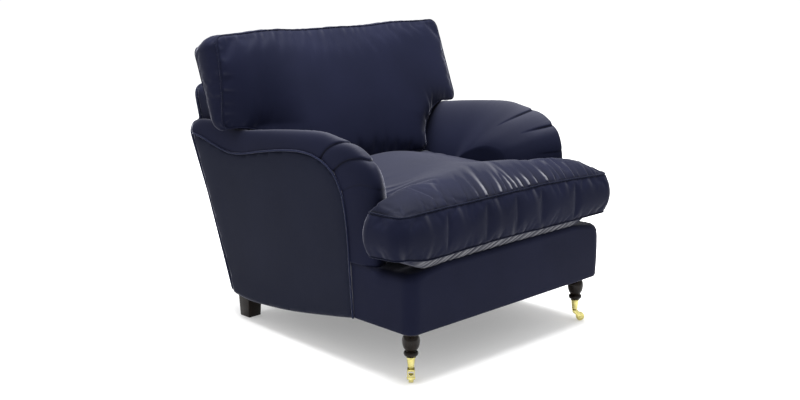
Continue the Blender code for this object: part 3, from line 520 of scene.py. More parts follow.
def arm_section(ridge, seam, inward):
    """Points across the arm on one ray, from the outer seam over the ridge and down the inside."""
    rearward = clamp01((ridge.x - 0.25) / 0.45)
    ridge_x = ARM_RIDGE_X_FRONT + (ARM_RIDGE_X_REAR - ARM_RIDGE_X_FRONT) * rearward
    upright = abs(inward.y)
    reach = (seam - ridge).length
    inner_reach = 0.092 + 0.135 * upright
    outer_power = 2.2 - 0.3 * upright
    inner_power = 1.42
    outer_x = side_x(seam.x, seam.y)
    points = []
    for t in np.linspace(0, math.pi / 2, 27):
        x = ridge_x + (outer_x - ridge_x) * max(math.cos(t), 0.0) ** (2 / outer_power)
        q = ridge + inward * (reach * (1 - math.sin(t) ** (2 / outer_power)))
        points.append((x, q.x, q.y))
    for t in np.linspace(0, math.pi / 2, 29)[1:]:
        x = ridge_x - (ridge_x - ARM_INNER_X) * math.sin(t) ** (2 / inner_power)
        q = ridge + inward * (inner_reach * (1 - max(math.cos(t), 0.0) ** (2 / inner_power)))
        points.append((x, q.x, q.y))
    points = resample(points, 0.0045)
    crown = np.argmin(np.abs(points[:, 0] - ridge_x) + (points[:, 0] > ridge_x))
    lateral = np.r_[np.linspace(0, 1, crown + 1), np.linspace(1, 2, len(points) - crown)[1:]]
    steps = np.linspace(0, 2, 56)
    points = np.stack([np.interp(steps, lateral, points[:, k]) for k in range(3)], 1)
    for _ in range(10):
        points[1:-1] = (points[:-2] + 2 * points[1:-1] + points[2:]) / 4
    last = ridge + inward * inner_reach
    end = Vector((FAN_CENTRE[0], ridge.y)) if ridge.y < FAN_CENTRE[1] else Vector(FAN_CENTRE)
    if ridge.x > FAN_CENTRE[0]:
        end = Vector((ridge.x, SHELF_Z + 0.004))
    wall = [(ARM_INNER_X, *last.lerp(end, share)) for share in np.linspace(0, 1, 12)[1:]]
    return np.vstack([points, wall]), np.r_[steps, np.full(len(wall), 2.0)]


def arm_surface(sign):
    """The cover's points across and along the arm, and the painted shade in its pleats."""
    sections = [arm_section(*ray) for ray in arm_rays()]
    placed = np.array([[(sign * x, at(raked(s, z)), z) for x, s, z in points] for points, _ in sections])
    normals = np.cross(np.gradient(placed, axis=0), np.gradient(placed, axis=1))
    normals /= np.linalg.norm(normals, axis=2)[:, :, None] + 1e-12
    middle = np.array((sign * 0.33, at(0.55), 0.40))
    facing = np.sign(np.sum((placed - middle) * normals, axis=2).mean())
    dark = np.zeros(placed.shape[:2])
    for u, (points, laterals) in enumerate(sections):
        for v, ((_, s, z), lateral) in enumerate(zip(points, laterals)):
            if s < FAN_CENTRE[0] and lateral < 1.9:
                depth, dark[u, v] = pleat(s, z, lateral)
                placed[u, v] -= facing * normals[u, v] * depth
    return placed, dark


def make_arms():
    for side, sign in SIDES:
        placed, dark = arm_surface(sign)
        vertices, faces = lattice(placed)
        arm = make_object("arm_cover_" + side, vertices, faces, NAVY)
        normals = np.cross(np.gradient(placed, axis=0), np.gradient(placed, axis=1))
        upward = np.abs(normals[..., 2]) / (np.linalg.norm(normals, axis=2) + 1e-12)
        # Painted sheen on the upward-facing top, painted shade in the pleat creases.
        set_painted_light(arm, (0.07 * upward ** 3 - dark).ravel())
        outward(arm)
        thicken(arm, COVER_THICKNESS)
        place(arm, "chair", "navy_velvet", "arm_" + side)


# ---------------------------------------------------------------- outside panels and piping

def make_side_panels():
    piping = resample(PIPING, 0.004)
    piping = piping[piping[:, 0] < 0.928]
    rear_low = outside_back_setback(OUTSIDE_BACK_Z) - 0.002
    bottom = resample([p for p in UNDERSIDE if p[0] < rear_low - 0.004] + [(rear_low, OUTSIDE_BACK_Z)], 0.006)
    rear_top = piping[-1][1]
    rear = resample([(outside_back_setback(rear_top) - 0.002, rear_top), (rear_low, OUTSIDE_BACK_Z)], 0.008)
    outline = np.vstack([piping, rear, bottom[::-1][1:-1]])
    points, triangles = fill(outline, 0.012)
    edge = distance_to(outline, points)
    for side, sign in SIDES:
        vertices = []
        for (s, z), gap in zip(points, edge):
            swell = 0.0030 * math.sin(math.pi / 2 * clamp01(gap / 0.05)) - 0.0022 * clamp01(1 - gap / 0.004)
            vertices.append((sign * (side_x(s, z) + swell - 0.001), at(s), z))
        panel = outward(make_object("side_panel_" + side, vertices, triangles, NAVY_SIDE_PAINTED_LIGHT))
        if sum(p.normal.x for p in panel.data.polygons) * sign < 0:
            panel.data.flip_normals()
        thicken(panel, COVER_THICKNESS)
        place(panel, "chair", "navy_velvet", "outside_arm_panel_" + side)
        path = resample(PIPING, 0.005)
        path = [(sign * (side_x(s, z) + 0.0014), at(raked(s, z) if s > 0.9 else s), z) for s, z in path]
        welt = tube("arm_piping_" + side + "_welt", path, PIPING_RADIUS, PIPING_CLOTH_PAINTED_HIGHLIGHT)
        place(welt, "chair", "navy_velvet", "arm_piping_" + side)


# ---------------------------------------------------------------- front border

def border_plan():
    """Half of the border's outline in plan, from the middle of the front round to the arm piping."""
    radius = 0.036
    half = BORDER_HALF_WIDTH
    points = [(x, 0.0) for x in np.arange(0.0, half - radius, 0.012)]
    for angle in np.linspace(0.0, math.pi / 2, 14):
        points.append((half - radius + radius * math.sin(angle), radius - radius * math.cos(angle)))
    points += [(half, s) for s in np.linspace(0.045, SIDE_SEAM_SETBACK, 24)]
    return np.array(points)


def shelf_height(x, s):
    """The border's top: a padded roll along the front edge, flat behind it where it carries the cushion."""
    across = 1 - 0.75 * smooth01((abs(x) - 0.26) / 0.13)
    return SHELF_Z + BORDER_ROLL * across * (1 - smooth01((s - 0.05) / 0.05))


def make_border():
    """The padded border under the seat: rounded below and above, with a shelf that carries the cushion."""
    half = border_plan()
    plan = np.vstack([half[::-1], half[1:] * (-1, 1)])
    tangent = np.gradient(plan, axis=0)
    tangent /= np.linalg.norm(tangent, axis=1)[:, None]
    normal = np.stack([tangent[:, 1], -tangent[:, 0]], 1)
    if normal[len(half) - 1][1] > 0:
        normal = -normal
    seam_s, seam_z = PIPING[:30, 0], PIPING[:30, 1]
    rings = []
    under = 0.006
    shelf = []
    for (x, s), (nx, ns) in zip(plan, normal):
        corner = smooth01((abs(x) - 0.34) / 0.05)
        round_top = (0.014 + 0.012 * corner) * (1 - smooth01((s - 0.10) / 0.07)) + 0.0004
        top = shelf_height(x, s)
        ring = [(x - nx * 0.030, s - ns * 0.030, UNDERSIDE_Z + 0.004)]
        for angle in np.linspace(0.0, math.pi / 2, 5):
            inset = under * (1 - math.sin(angle))
            ring.append((x - nx * inset, s - ns * inset, UNDERSIDE_Z + under * (1 - math.cos(angle))))
        for z in np.linspace(UNDERSIDE_Z + under, top - round_top, 14)[1:-1]:
            swell = 0.0022 * math.sin(math.pi * (z - UNDERSIDE_Z) / (SHELF_Z - UNDERSIDE_Z))
            swell *= clamp01((SIDE_SEAM_SETBACK - s) / 0.05)
            ring.append((x + nx * swell, s + ns * swell, z))
        for angle in np.linspace(0.0, math.pi / 2, 9):
            inset = round_top * (1 - math.cos(angle))
            ring.append((x - nx * inset, s - ns * inset, top - round_top * (1 - math.sin(angle))))
        stretch = clamp01((s - 0.15) / 0.072)
        ring = [(px, ps + stretch * (np.interp(pz, seam_z, seam_s) - SIDE_SEAM_SETBACK), pz)
                for px, ps, pz in ring]
        shelf.append(ring[-1])
        rings.append([(px, at(ps), pz) for px, ps, pz in ring])
    vertices, faces = lattice(rings)
    cap, cap_faces = fill([p[:2] for p in shelf], 0.010)
    heights = [shelf_height(x, s) for x, s in cap]
    heights[:len(shelf)] = [p[2] for p in shelf]
    faces += [tuple(i + len(vertices) for i in face) for face in cap_faces]
    vertices = np.vstack([vertices, [(x, at(s), z) for (x, s), z in zip(cap, heights)]])
    border = make_object("front_border_cover", vertices, faces, NAVY)
    # Painted shade on the shelf behind the front roll, under the cushion.
    behind = smooth_share((vertices[:, 1] - at(0.010)) / 0.030)
    set_painted_light(border, -0.35 * behind * smooth_share((vertices[:, 2] - SHELF_Z + 0.010) / 0.008))
    outward(border)
    thicken(border, COVER_THICKNESS)
    place(border, "chair", "navy_velvet", "front_border")


# ---------------------------------------------------------------- back

def rounded(corners, radius, steps=7):
    """A closed polygon with rounded corners; each corner is (x, z) or (x, z, its own radius)."""
    out = []
    count = len(corners)
    for i, corner in enumerate(corners):
        p = Vector(corner[:2])
        before = Vector(corners[i - 1][:2]) - p
        after = Vector(corners[(i + 1) % count][:2]) - p
        r = corner[2] if len(corner) > 2 else radius
        turn = before.angle(after)
        cut = min(r / math.tan(turn / 2), 0.48 * before.length, 0.48 * after.length)
        a = p + before.normalized() * cut
        b = p + after.normalized() * cut
        for t in np.linspace(0, 1, steps):
            out.append(tuple(a.lerp(p, t).lerp(p.lerp(b, t), t)))
    return resample(out + [out[0]], 0.006)[:-1]


def back_pad_outline():
    low = [(0.262, 0.310), (0.262, 0.440), (0.345, 0.500), (0.362, 0.560), (0.362, 0.700, 0.040)]
    return low + [(-p[0], *p[1:]) for p in low[::-1]]


def make_inside_back():
    """Padded back with soft edges, in the raked plane between the loose cushion and the outside back."""
    outline = rounded(back_pad_outline(), 0.012)
    tangent = np.roll(outline, -1, 0) - np.roll(outline, 1, 0)
    tangent /= np.linalg.norm(tangent, axis=1)[:, None]
    normal = np.stack([tangent[:, 1], -tangent[:, 0]], 1)
    centre = outline.mean(0)
    if np.sum((outline - centre) * normal) < 0:
        normal = -normal

    def lay(x, z, depth):
        front = back_face_setback(z) + BACK_CUSHION_ROOM
        rear = outside_back_setback(z) - 0.003
        return (x, at(front + (rear - front) * depth), z)

    rings = []
    for angle in np.linspace(0, math.pi / 2, 7):
        inset = 0.022 * (1 - math.sin(angle))
        rings.append([lay(x, z, 0.20 * (1 - math.cos(angle))) for x, z in outline - normal * inset])
    for depth in (0.4, 0.6, 0.8):
        rings.append([lay(x, z, depth) for x, z in outline])
    for angle in np.linspace(0, math.pi / 2, 5):
        inset = 0.006 * (1 - math.cos(angle))
        rings.append([lay(x, z, 0.94 + 0.05 * math.sin(angle)) for x, z in outline - normal * inset])
    vertices, faces = lattice(rings, wrap_v=True)
    shrunk = outline - normal * 0.022
    cap, cap_faces = fill(shrunk, 0.02)
    offset = len(vertices)
    vertices = np.vstack([vertices, [lay(x, z, 0.0) for x, z in cap]])
    faces += [tuple(i + offset for i in f) for f in cap_faces]
    offset = len(vertices)
    shrunk = outline - normal * 0.006
    cap, cap_faces = fill(shrunk, 0.03)
    vertices = np.vstack([vertices, [lay(x, z, 0.99) for x, z in cap]])
    faces += [tuple(i + offset for i in f) for f in cap_faces]
    back = outward(make_object("inside_back_cover", vertices, faces, NAVY))
    place(back, "chair", "navy_velvet", "inside_back")


def make_outside_back():
    """One flat panel over the back of the chair and the ends of both arms, with a welt round it."""
    half = [(0.3745, 0.0870, 0.004), (0.390, 0.380, 0.2), (0.4045, 0.535, 0.05), (0.4070, 0.568, 0.028),
            (0.390, 0.592, 0.022), (0.364, 0.596, 0.012), (0.362, 0.700, 0.040)]
    outline = rounded(half + [(-p[0], *p[1:]) for p in half[::-1]], 0.01)
    points, triangles = fill(outline, 0.014)
    edge = distance_to(outline, points)
    vertices = []
    for (x, z), gap in zip(points, edge):
        swell = 0.0045 * math.sin(math.pi / 2 * clamp01(gap / 0.06)) - 0.002 * clamp01(1 - gap / 0.004)
        vertices.append((x, at(outside_back_setback(z) + swell - 0.001), z))
    panel = outward(make_object("outside_back_cover", vertices, triangles, NAVY_SIDE_PAINTED_LIGHT))
    if sum(p.normal.y for p in panel.data.polygons) < 0:
        panel.data.flip_normals()
    thicken(panel, COVER_THICKNESS)
    place(panel, "chair", "navy_velvet", "outside_back_panel")
    closed = resample(np.vstack([outline, outline[:1]]), 0.006)
    path = [(x, at(outside_back_setback(z)) + 0.0005, z) for x, z in closed]
    welt = tube("outside_back_welt", path[:-1], 0.0032, PIPING_CLOTH_PAINTED_HIGHLIGHT, closed=True)
    place(welt, "chair", "navy_velvet")


# ---------------------------------------------------------------- loose cushions

class Cushion:
    """A T-shaped cushion in its own frame, as a net of cells: the wide part is towards -Y, the best face +Z.

    Lower and upper seams run round it at Z 0 and at the thickness, with the boxing between them. The inner
    corners of the T are filled out, to lie against the rounded arms.
    """

    def __init__(self, half, narrow, wing, length, thickness, corners, fillet, cell):
        self.half, self.narrow, self.wing, self.length = half, narrow, wing, length
        self.thickness, self.corners, self.fillet = thickness, corners, fillet
        outer = np.linspace(narrow, half, round((half - narrow) / cell) + 1)
        middle = np.linspace(-narrow, narrow, round(2 * narrow / cell) + 1)
        self.columns = np.concatenate([-outer[:0:-1], middle, outer[1:]])
        self.rows = np.concatenate([np.linspace(0, wing, round(wing / cell) + 1),
                                    np.linspace(wing, length, round((length - wing) / cell) + 1)[1:]])
        self.layers = round(thickness / cell)
        self.cells = [(i, j) for i in range(len(self.columns) - 1) for j in range(len(self.rows) - 1)
                      if abs(self.columns[i] + self.columns[i + 1]) / 2 < narrow
                      or self.rows[j + 1] <= wing + 1e-6]
        uses = {}
        for i, j in self.cells:
            loop = [(i, j), (i + 1, j), (i + 1, j + 1), (i, j + 1)]
            for pair in zip(loop, loop[1:] + loop[:1]):
                uses.setdefault(frozenset(pair), []).append(pair)
        following = dict(found[0] for found in uses.values() if len(found) == 1)
        node = min(following)
        self.border = []
        while node not in self.border[:1]:
            self.border.append(node)
            node = following[node]
        self.nodes = sorted({n for pair in uses.values() for n in pair[0]})
        self.flat = {node: self.soften(node) for node in self.nodes}
        self.outline = np.array([self.flat[n] for n in self.border])
        tangent = np.roll(self.outline, -1, 0) - np.roll(self.outline, 1, 0)
        tangent /= np.linalg.norm(tangent, axis=1)[:, None]
        self.normal = np.stack([tangent[:, 1], -tangent[:, 0]], 1)
        self.film = self.membrane()

    def soften(self, node):
        """Plan position with the outer corners rounded and the inner corners filled out."""
        x, y = self.columns[node[0]], self.rows[node[1]]
        side = math.copysign(1.0, x)
        places = ((self.half, 0.0, 1), (self.half, self.wing, -1), (self.narrow, self.length, -1))
        for (far_x, far_y, way), r in zip(places, self.corners):
            if far_x == self.narrow and y < self.wing + 1e-6:
                continue
            a = (abs(x) - (far_x - r)) / r
            b = 1 - (y - far_y) * way / r
            if 0 < a <= 1.0001 and 0 < b <= 1.0001:
                x = side * (far_x - r + r * a * math.sqrt(1 - b * b / 2))
                y = far_y + way * (r - r * b * math.sqrt(1 - a * a / 2))
        share = clamp01(1 - abs(abs(x) - self.narrow) / self.fillet)
        share *= clamp01(1 - abs(y - self.wing) / self.fillet)
        push = (1 - math.sqrt(0.5)) * self.fillet * share ** 2
        return float(x + side * push), float(y + push)

    def membrane(self):
        """Height, from 0 to 1, of a film blown up over the plan, at each node."""
        inner = np.zeros((len(self.columns), len(self.rows)), bool)
        border = set(self.border)
        for node in self.nodes:
            inner[node] = node not in border
        i, j = np.indices(inner.shape)
        height = np.zeros(inner.shape)
        for _ in range(260):
            for parity in (0, 1):
                wide = np.pad(height, 1)
                around = wide[:-2, 1:-1] + wide[2:, 1:-1] + wide[1:-1, :-2] + wide[1:-1, 2:]
                relaxed = height + 1.93 * ((around + 1e-3) / 4 - height)
                height = np.where(inner & ((i + j) % 2 == parity), relaxed, height)
        return height / height.max()

    def build(self, name, material, crown, belly, bulge, skirt=None):
        """Crown and belly give the panels' heights at a plan point and film height; bulge gives the boxing's.

        A skirt gives how far the underside turns in and down right below the lower seam.
        """
        count = len(self.border)
        turned = 6 if skirt else 0
        last = turned + self.layers
        vertices, index = [], {}
        for k in range(last + 1):
            share = max(k - turned, 0) / self.layers
            turn = math.pi / 2 * max(turned - k, 0) / max(turned, 1)
            for node, (x, y), normal in zip(self.border, self.outline, self.normal):
                reach = bulge(x, y) * math.sin(math.pi * share) ** 0.8
                z = self.thickness * share
                if turn:
                    inset, drop = skirt(x, y)
                    reach = -inset * (1 - math.cos(turn))
                    z = -drop * math.sin(turn)
                index[node, k] = len(vertices)
                vertices.append((x + normal[0] * reach, y + normal[1] * reach, z))
        for node in self.nodes:
            if (node, 0) in index:
                continue
            x, y = self.flat[node]
            index[node, 0] = len(vertices)
            vertices.append((x, y, -belly(x, y, self.film[node])))
            index[node, last] = len(vertices)
            vertices.append((x, y, self.thickness + crown(x, y, self.film[node])))
        faces = []
        for i, j in self.cells:
            loop = [(i, j), (i + 1, j), (i + 1, j + 1), (i, j + 1)]
            faces.append([index[n, last] for n in loop])
            faces.append([index[n, 0] for n in loop[::-1]])
        for a, b in zip(self.border, self.border[1:] + self.border[:1]):
            for k in range(last):
                faces.append([index[a, k], index[b, k], index[b, k + 1], index[a, k + 1]])
        self.low_seam = [index[n, turned] for n in self.border]
        self.high_seam = [index[n, last] for n in self.border]
        self.boxing_count = count * (last + 1)
        return make_object(name, vertices, faces, material)

    def seam_coordinates(self, points):
        """For each point: its place along the seams' outline and its distance from it, in plan."""
        dense = resample(np.vstack([self.outline, self.outline[:1]]), 0.0015)
        steps = np.r_[0, np.cumsum(np.linalg.norm(np.diff(dense, axis=0), axis=1))]
        self.perimeter = steps[-1]
        tree = KDTree(len(dense))
        for n, (x, y) in enumerate(dense):
            tree.insert((x, y, 0.0), n)
        tree.balance()
        found = [tree.find((x, y, 0.0))[1:] for x, y, _ in points]
        return np.array([steps[n] for n, _ in found]), np.array([gap for _, gap in found])


def simulate(obj, pins, pressure, growth, frames, caps):
    """Inflates the cover as cloth sewn along its pinned seams, and caps how far each point moves."""
    start = coordinates_of(obj)
    group = obj.vertex_groups.new(name="Seams")
    group.add(pins, 1.0, "REPLACE")
    modifier = obj.modifiers.new("Cloth", "CLOTH")
    settings = modifier.settings
    settings.quality = 5
    settings.mass = 0.25
    settings.tension_stiffness = 18.0
    settings.compression_stiffness = 18.0
    settings.shear_stiffness = 6.0
    settings.bending_stiffness = 0.35
    settings.use_pressure = True
    settings.uniform_pressure_force = pressure
    settings.shrink_min = -growth
    settings.vertex_group_mass = "Seams"
    settings.pin_stiffness = 1.0
    settings.effector_weights.gravity = 0.0
    modifier.collision_settings.use_collision = False
    modifier.point_cache.frame_start = 1
    modifier.point_cache.frame_end = frames
    scene = bpy.context.scene
    for step in range(1, frames + 1):
        scene.frame_set(step)
    graph = bpy.context.evaluated_depsgraph_get()
    mesh = bpy.data.meshes.new_from_object(obj.evaluated_get(graph))
    moved = np.array([v.co for v in mesh.vertices]) - start
    bpy.data.meshes.remove(mesh)
    obj.modifiers.clear()
    obj.vertex_groups.clear()
    scene.frame_set(1)
    length = np.linalg.norm(moved, axis=1)
    allowed = caps * np.tanh(length / caps)
    write_coordinates(obj, start + moved * (allowed / np.maximum(length, 1e-9))[:, None])


def subdivide(obj, levels=1):
    modifier = obj.modifiers.new("Finer", "SUBSURF")
    modifier.levels = levels
    modifier.render_levels = levels
    apply_modifiers(obj)


def coordinates_of(obj):
    co = np.empty(len(obj.data.vertices) * 3, np.float32)
    obj.data.vertices.foreach_get("co", co)
    return co.reshape(-1, 3).astype(float)


def write_coordinates(obj, points):
    obj.data.vertices.foreach_set("co", np.asarray(points, np.float32).ravel())
    obj.data.update()


def displace(obj, amounts):
    """Moves the vertices along their normals."""
    normals = np.array([v.normal for v in obj.data.vertices])
    write_coordinates(obj, coordinates_of(obj) + normals * amounts[:, None])


def gathers(rng, length, spacing, width, reach, height, slant, weight_at=None):
    """Tucks along a seam: (place along it, width, reach, height, slant)."""
    made = []
    place_at = rng.uniform(0, spacing)
    while place_at < length:
        weight = weight_at(place_at) if weight_at else 1.0
        made.append((place_at, width * rng.uniform(0.8, 1.25), reach * rng.uniform(0.6, 1.3),
                     height * weight * rng.uniform(0.60, 1.15), slant + rng.uniform(-0.15, 0.15)))
        place_at += spacing * rng.uniform(0.55, 1.45) / max(weight, 0.5)
    return made


def tuck_height(made, along, away):
    """Height of the tucks at places along and away from the seam, as arrays."""
    total = np.zeros_like(along)
    for place_at, width, reach, height, slant in made:
        share = away / reach
        lean = along - place_at - slant * away
        near = np.flatnonzero((share < 3) & (np.abs(lean) < 5 * width * (1 + 0.5 * share)))
        off = lean[near] / (width * (1 + 0.5 * share[near]))
        rise = np.exp(-share[near] ** 1.5) * (1 - np.exp(-away[near] / 0.003))
        total[near] += height * rise * (np.exp(-off ** 2) - 0.5 * np.exp(-((off - 1.6) / 0.9) ** 2))
    return total


def finish_cushion(cushion, obj, name, matrix, bend, welt_radius, welt_cloth):
    """Bends and places the cushion, and lays welts along its seams."""
    co = coordinates_of(obj)
    paths = {}
    for node, wanted, lift in (("lower", cushion.low_seam, -0.0004), ("upper", cushion.high_seam, 0.0004)):
        reach = np.zeros((len(wanted), 3))
        reach[:, :2] = cushion.normal * (welt_radius * 0.5)
        paths[node] = bend(co[wanted] + reach + (0, 0, lift))
    write_coordinates(obj, bend(co))
    obj.data.transform(matrix)
    obj.data.update()
    place(obj, name, "navy_velvet", name + "_cover", name + "_filling")
    for node, path in paths.items():
        path = np.array([matrix @ Vector(p) for p in path])
        smooth = (np.roll(path, 1, 0) + 2 * path + np.roll(path, -1, 0)) / 4
        smooth = resample(np.vstack([smooth, smooth[:1]]), 0.0045)[:-1]
        welt = tube(f"{name}_{node}_welt", smooth, welt_radius, welt_cloth, closed=True)
        place(welt, name, "navy_velvet", f"{name}_{node}_piping")


def painted_light_of(tucks, tallest, lightest, from_seam, seam_shade=0.8):
    """Painted light for a cushion: painted highlights along the tucks, painted shade between them and beside
    the seams.
    """
    share = tucks / tallest
    shaded = 0.5 * np.clip(-share, 0, 1) + seam_shade * np.exp(-(from_seam / 0.0030) ** 2)
    return lightest * np.clip(share, 0, 1) ** 1.6 - shaded


# The seat cushion in plan: Y runs back from its front seam
SEAT_HALF_WIDTH = 0.4365
SEAT_REAR_HALF_WIDTH = 0.2665
SEAT_WING = 0.122
SEAT_LENGTH = 0.6635
SEAT_SETBACK = 0.0085
SKIRT_MIDDLE_X = -0.04
CUSHION_CELL = 0.0072
SEAM_EDGE = 1e-4

# The back cushion
BACK_TOP_Z = 0.866
BACK_BOTTOM_Z = 0.470
BACK_EAR_Z = 0.611
BACK_THICKNESS = 0.113
BACK_EARS = (BACK_TOP_Z - BACK_EAR_Z) / math.cos(BACK_RAKE)


def seat_crown(x, y, film):
    """A front slope up to a curved ridge, and behind it a surface that falls towards the arms."""
    ridge = 0.095 + 0.055 * max(0.0, 1 - (x / 0.36) ** 2)
    slope = 1 - (1 - min(y / ridge, 1.0)) ** 1.6
    behind = 1 - 0.22 * smooth01((y - ridge) / 0.16)
    half = SEAT_HALF_WIDTH - (SEAT_HALF_WIDTH - SEAT_REAR_HALF_WIDTH) * smooth01((y - 0.10) / 0.17)
    power = 0.42 + 1.3 * smooth01((y - 0.12) / 0.14)
    across = max(0.0, 1 - (x / half) ** 2) ** power
    rear = 1 - smooth01((y - 0.51) / 0.10)
    return 0.052 * slope * behind * across * min(1.0, film / 0.02) ** 0.5 * rear


def seat_skirt(x, y):
    """Inset and drop of the underside's edge: deep under the middle of the front, shallow elsewhere."""
    shallow = max(smooth01((y - SEAT_WING + 0.03) / 0.03),
                  smooth01((abs(x - SKIRT_MIDDLE_X) - 0.30) / 0.08))
    return (0.0045, 0.0215 - 0.0185 * shallow)


def seat_belly(x, y, film):
    return seat_skirt(x, y)[1] + 0.0115 * smooth01((y - 0.085) / 0.05) * min(1.0, film / 0.10)


def seat_bulge(_, y):
    return 0.017 if y < SEAT_WING - 0.001 else 0.0015


def seat_caps(cushion, start):
    """How far the inflated cloth may move at each vertex."""
    boxing = np.arange(len(start)) < cushion.boxing_count
    forward = start[:, 1] < SEAT_WING - 0.001
    top = start[:, 2] > cushion.thickness / 2
    caps = np.where(boxing, np.where(forward, 0.005, 0.0015), np.where(top, 0.005, 0.002))
    caps[start[:, 2] < 0] = 0.0015
    return caps


def front_weight(place_at):
    """How gathered the front seam is along its length; the sides and rear are slack."""
    if place_at >= 2 * SEAT_HALF_WIDTH:
        return 0.3
    return 0.50 + 0.65 * math.exp(-((place_at - 0.47) / 0.22) ** 2)


def seat_surface(cushion, co):
    """Heights of the tucks and the painted light at each vertex: highlights, shade and sheen painted into the
    colour.
    """
    along, away = cushion.seam_coordinates(co)
    rng = random.Random(11)
    around = cushion.perimeter
    top_tucks = gathers(rng, around, 0.034, 0.0054, 0.064, 0.0050, 0.40, front_weight)
    top_tucks += gathers(rng, around, 0.040, 0.0044, 0.030, 0.0024, 0.35, front_weight)
    upper_tucks = gathers(rng, around, 0.120, 0.0055, 0.034, 0.0016, 0.10)
    lower_tucks = gathers(rng, around, 0.075, 0.0055, 0.030, 0.0018, -0.06)
    under_tucks = gathers(rng, around, 0.026, 0.0065, 0.200, 0.0022, -2.0)
    on_top = co[:, 2] > cushion.thickness - SEAM_EDGE
    below = co[:, 2] < SEAM_EDGE
    edge = ~on_top & ~below & (away < 0.03)
    from_top = np.clip(cushion.thickness - co[:, 2], 0, 1)
    from_bottom = np.clip(co[:, 2], 0, 1)
    beneath = away - np.minimum(co[:, 2], 0)
    gathered = np.exp(-(beneath / 0.034) ** 4) * smooth_share((SEAT_WING - co[:, 1]) / 0.03)
    gathered *= 1 - smooth_share((np.abs(co[:, 0] - SKIRT_MIDDLE_X) - 0.30) / 0.07)
    tucks = np.where(on_top, tuck_height(top_tucks, along, away), 0.0)
    tucks += np.where(below, tuck_height(under_tucks, along, beneath) * gathered, 0.0)
    on_edge = tuck_height(upper_tucks, along, from_top) + tuck_height(lower_tucks, along, from_bottom)
    tucks += np.where(edge, on_edge, 0.0)
    from_seam = np.where(on_top | below, away, np.minimum(from_top, from_bottom))
    # Painted highlights along the tucks, painted shade between them and beside the seams.
    nap = painted_light_of(tucks, np.where(on_top, 0.0044, 0.0022), np.where(on_top, 0.55, 0.14), from_seam)
    # Painted shade on the front slope near the front seam.
    nap -= np.where(on_top, 0.30 * np.exp(-(away / 0.05) ** 2) * (co[:, 1] < SEAT_WING), 0.0)
    # Painted sheen on the top behind the front slope.
    nap += np.where(on_top, 0.030 * smooth_share((co[:, 1] - 0.05) / 0.12), 0.0)
    # Under the front: painted sheen in bands along the gathered strip, lightest on the tucks.
    banded = 0.17 + 0.30 * np.clip(tucks / 0.0020, -0.6, 1)
    banded = banded * smooth_share(beneath / 0.004) * gathered
    return tucks, np.where(below, banded, nap)


def bend_seat(points, thickness):
    """The front seams rise and fall a little, as they do on a filled cover."""
    out = points.copy()
    x, y, z = points.T
    fore = np.clip(1 - y / 0.25, 0, 1)
    raised = 0.009 - 0.014 * np.clip((x - 0.15) / 0.28, 0, 1)
    lifted = 0.016 * np.clip((-x - 0.30) / 0.11, 0, 1) ** 2 + 0.006 * np.exp(-((x + 0.05) / 0.22) ** 2)
    share = np.clip(z / thickness, 0, 1)
    out[:, 2] += fore * (raised * share + lifted * (1 - share))
    return out


def make_seat_cushion():
    low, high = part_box("seat_cushion_lower_piping"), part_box("seat_cushion_upper_piping")
    seam_low = (low[0].z + low[1].z) / 2
    seam_high = (high[0].z + high[1].z) / 2
    thickness = seam_high - seam_low
    cushion = Cushion(SEAT_HALF_WIDTH, SEAT_REAR_HALF_WIDTH, SEAT_WING, SEAT_LENGTH, thickness,
                      (0.028, 0.018, 0.040), 0.145, CUSHION_CELL)
    obj = cushion.build("seat_cushion_pad", NAVY, seat_crown, seat_belly, seat_bulge, seat_skirt)
    caps = seat_caps(cushion, coordinates_of(obj))
    simulate(obj, cushion.low_seam + cushion.high_seam, 4.0, 0.035, 20, caps)
    subdivide(obj)
    tucks, nap = seat_surface(cushion, coordinates_of(obj))
    displace(obj, tucks)
    set_painted_light(obj, nap)
    matrix = Matrix.Translation((0.0, at(SEAT_SETBACK), seam_low))
    finish_cushion(cushion, obj, "seat_cushion", matrix, lambda points: bend_seat(points, thickness),
                   0.0022, SEAM_CLOTH_PAINTED_SHADE)


def back_crown(_x, _y, film):
    return 0.028 * film ** 0.45


def back_belly(_x, _y, film):
    return 0.008 * film ** 0.5


def back_bulge(_, y):
    return 0.010 if y < BACK_EARS - 0.002 else 0.001


def back_caps(cushion, start):
    """How far the inflated cloth may move at each vertex."""
    boxing = np.arange(len(start)) < cushion.boxing_count
    free = start[:, 1] < BACK_EARS - 0.004
    face = start[:, 2] > BACK_THICKNESS / 2
    return np.where(boxing, np.where(free, 0.006, 0.0012), np.where(face, 0.006, 0.001))


def back_surface(cushion, co):
    """Heights of the tucks and the painted light at each vertex: painted highlights and painted shade in the
    colour.
    """
    along, away = cushion.seam_coordinates(co)
    rng = random.Random(23)
    face_tucks = gathers(rng, cushion.perimeter, 0.034, 0.0050, 0.022, 0.0016, 0.2)
    edge_tucks = gathers(rng, cushion.perimeter, 0.060, 0.0055, 0.024, 0.0012, 0.0)
    on_top = co[:, 2] > BACK_THICKNESS - SEAM_EDGE
    below = co[:, 2] < SEAM_EDGE
    from_top = np.clip(BACK_THICKNESS - co[:, 2], 0, 1)
    tucks = np.where(on_top, tuck_height(face_tucks, along, away), 0.0)
    edge = ~on_top & ~below & (away < 0.03)
    tucks += np.where(edge, tuck_height(edge_tucks, along, from_top), 0.0)
    nearest = np.minimum(from_top, np.clip(co[:, 2], 0, 1))
    from_seam = np.where(on_top | below, away, nearest)
    # Painted highlights along the tucks, painted shade between them and beside the seams.
    return tucks, painted_light_of(tucks, 0.0022, 0.06, from_seam, 0.45)


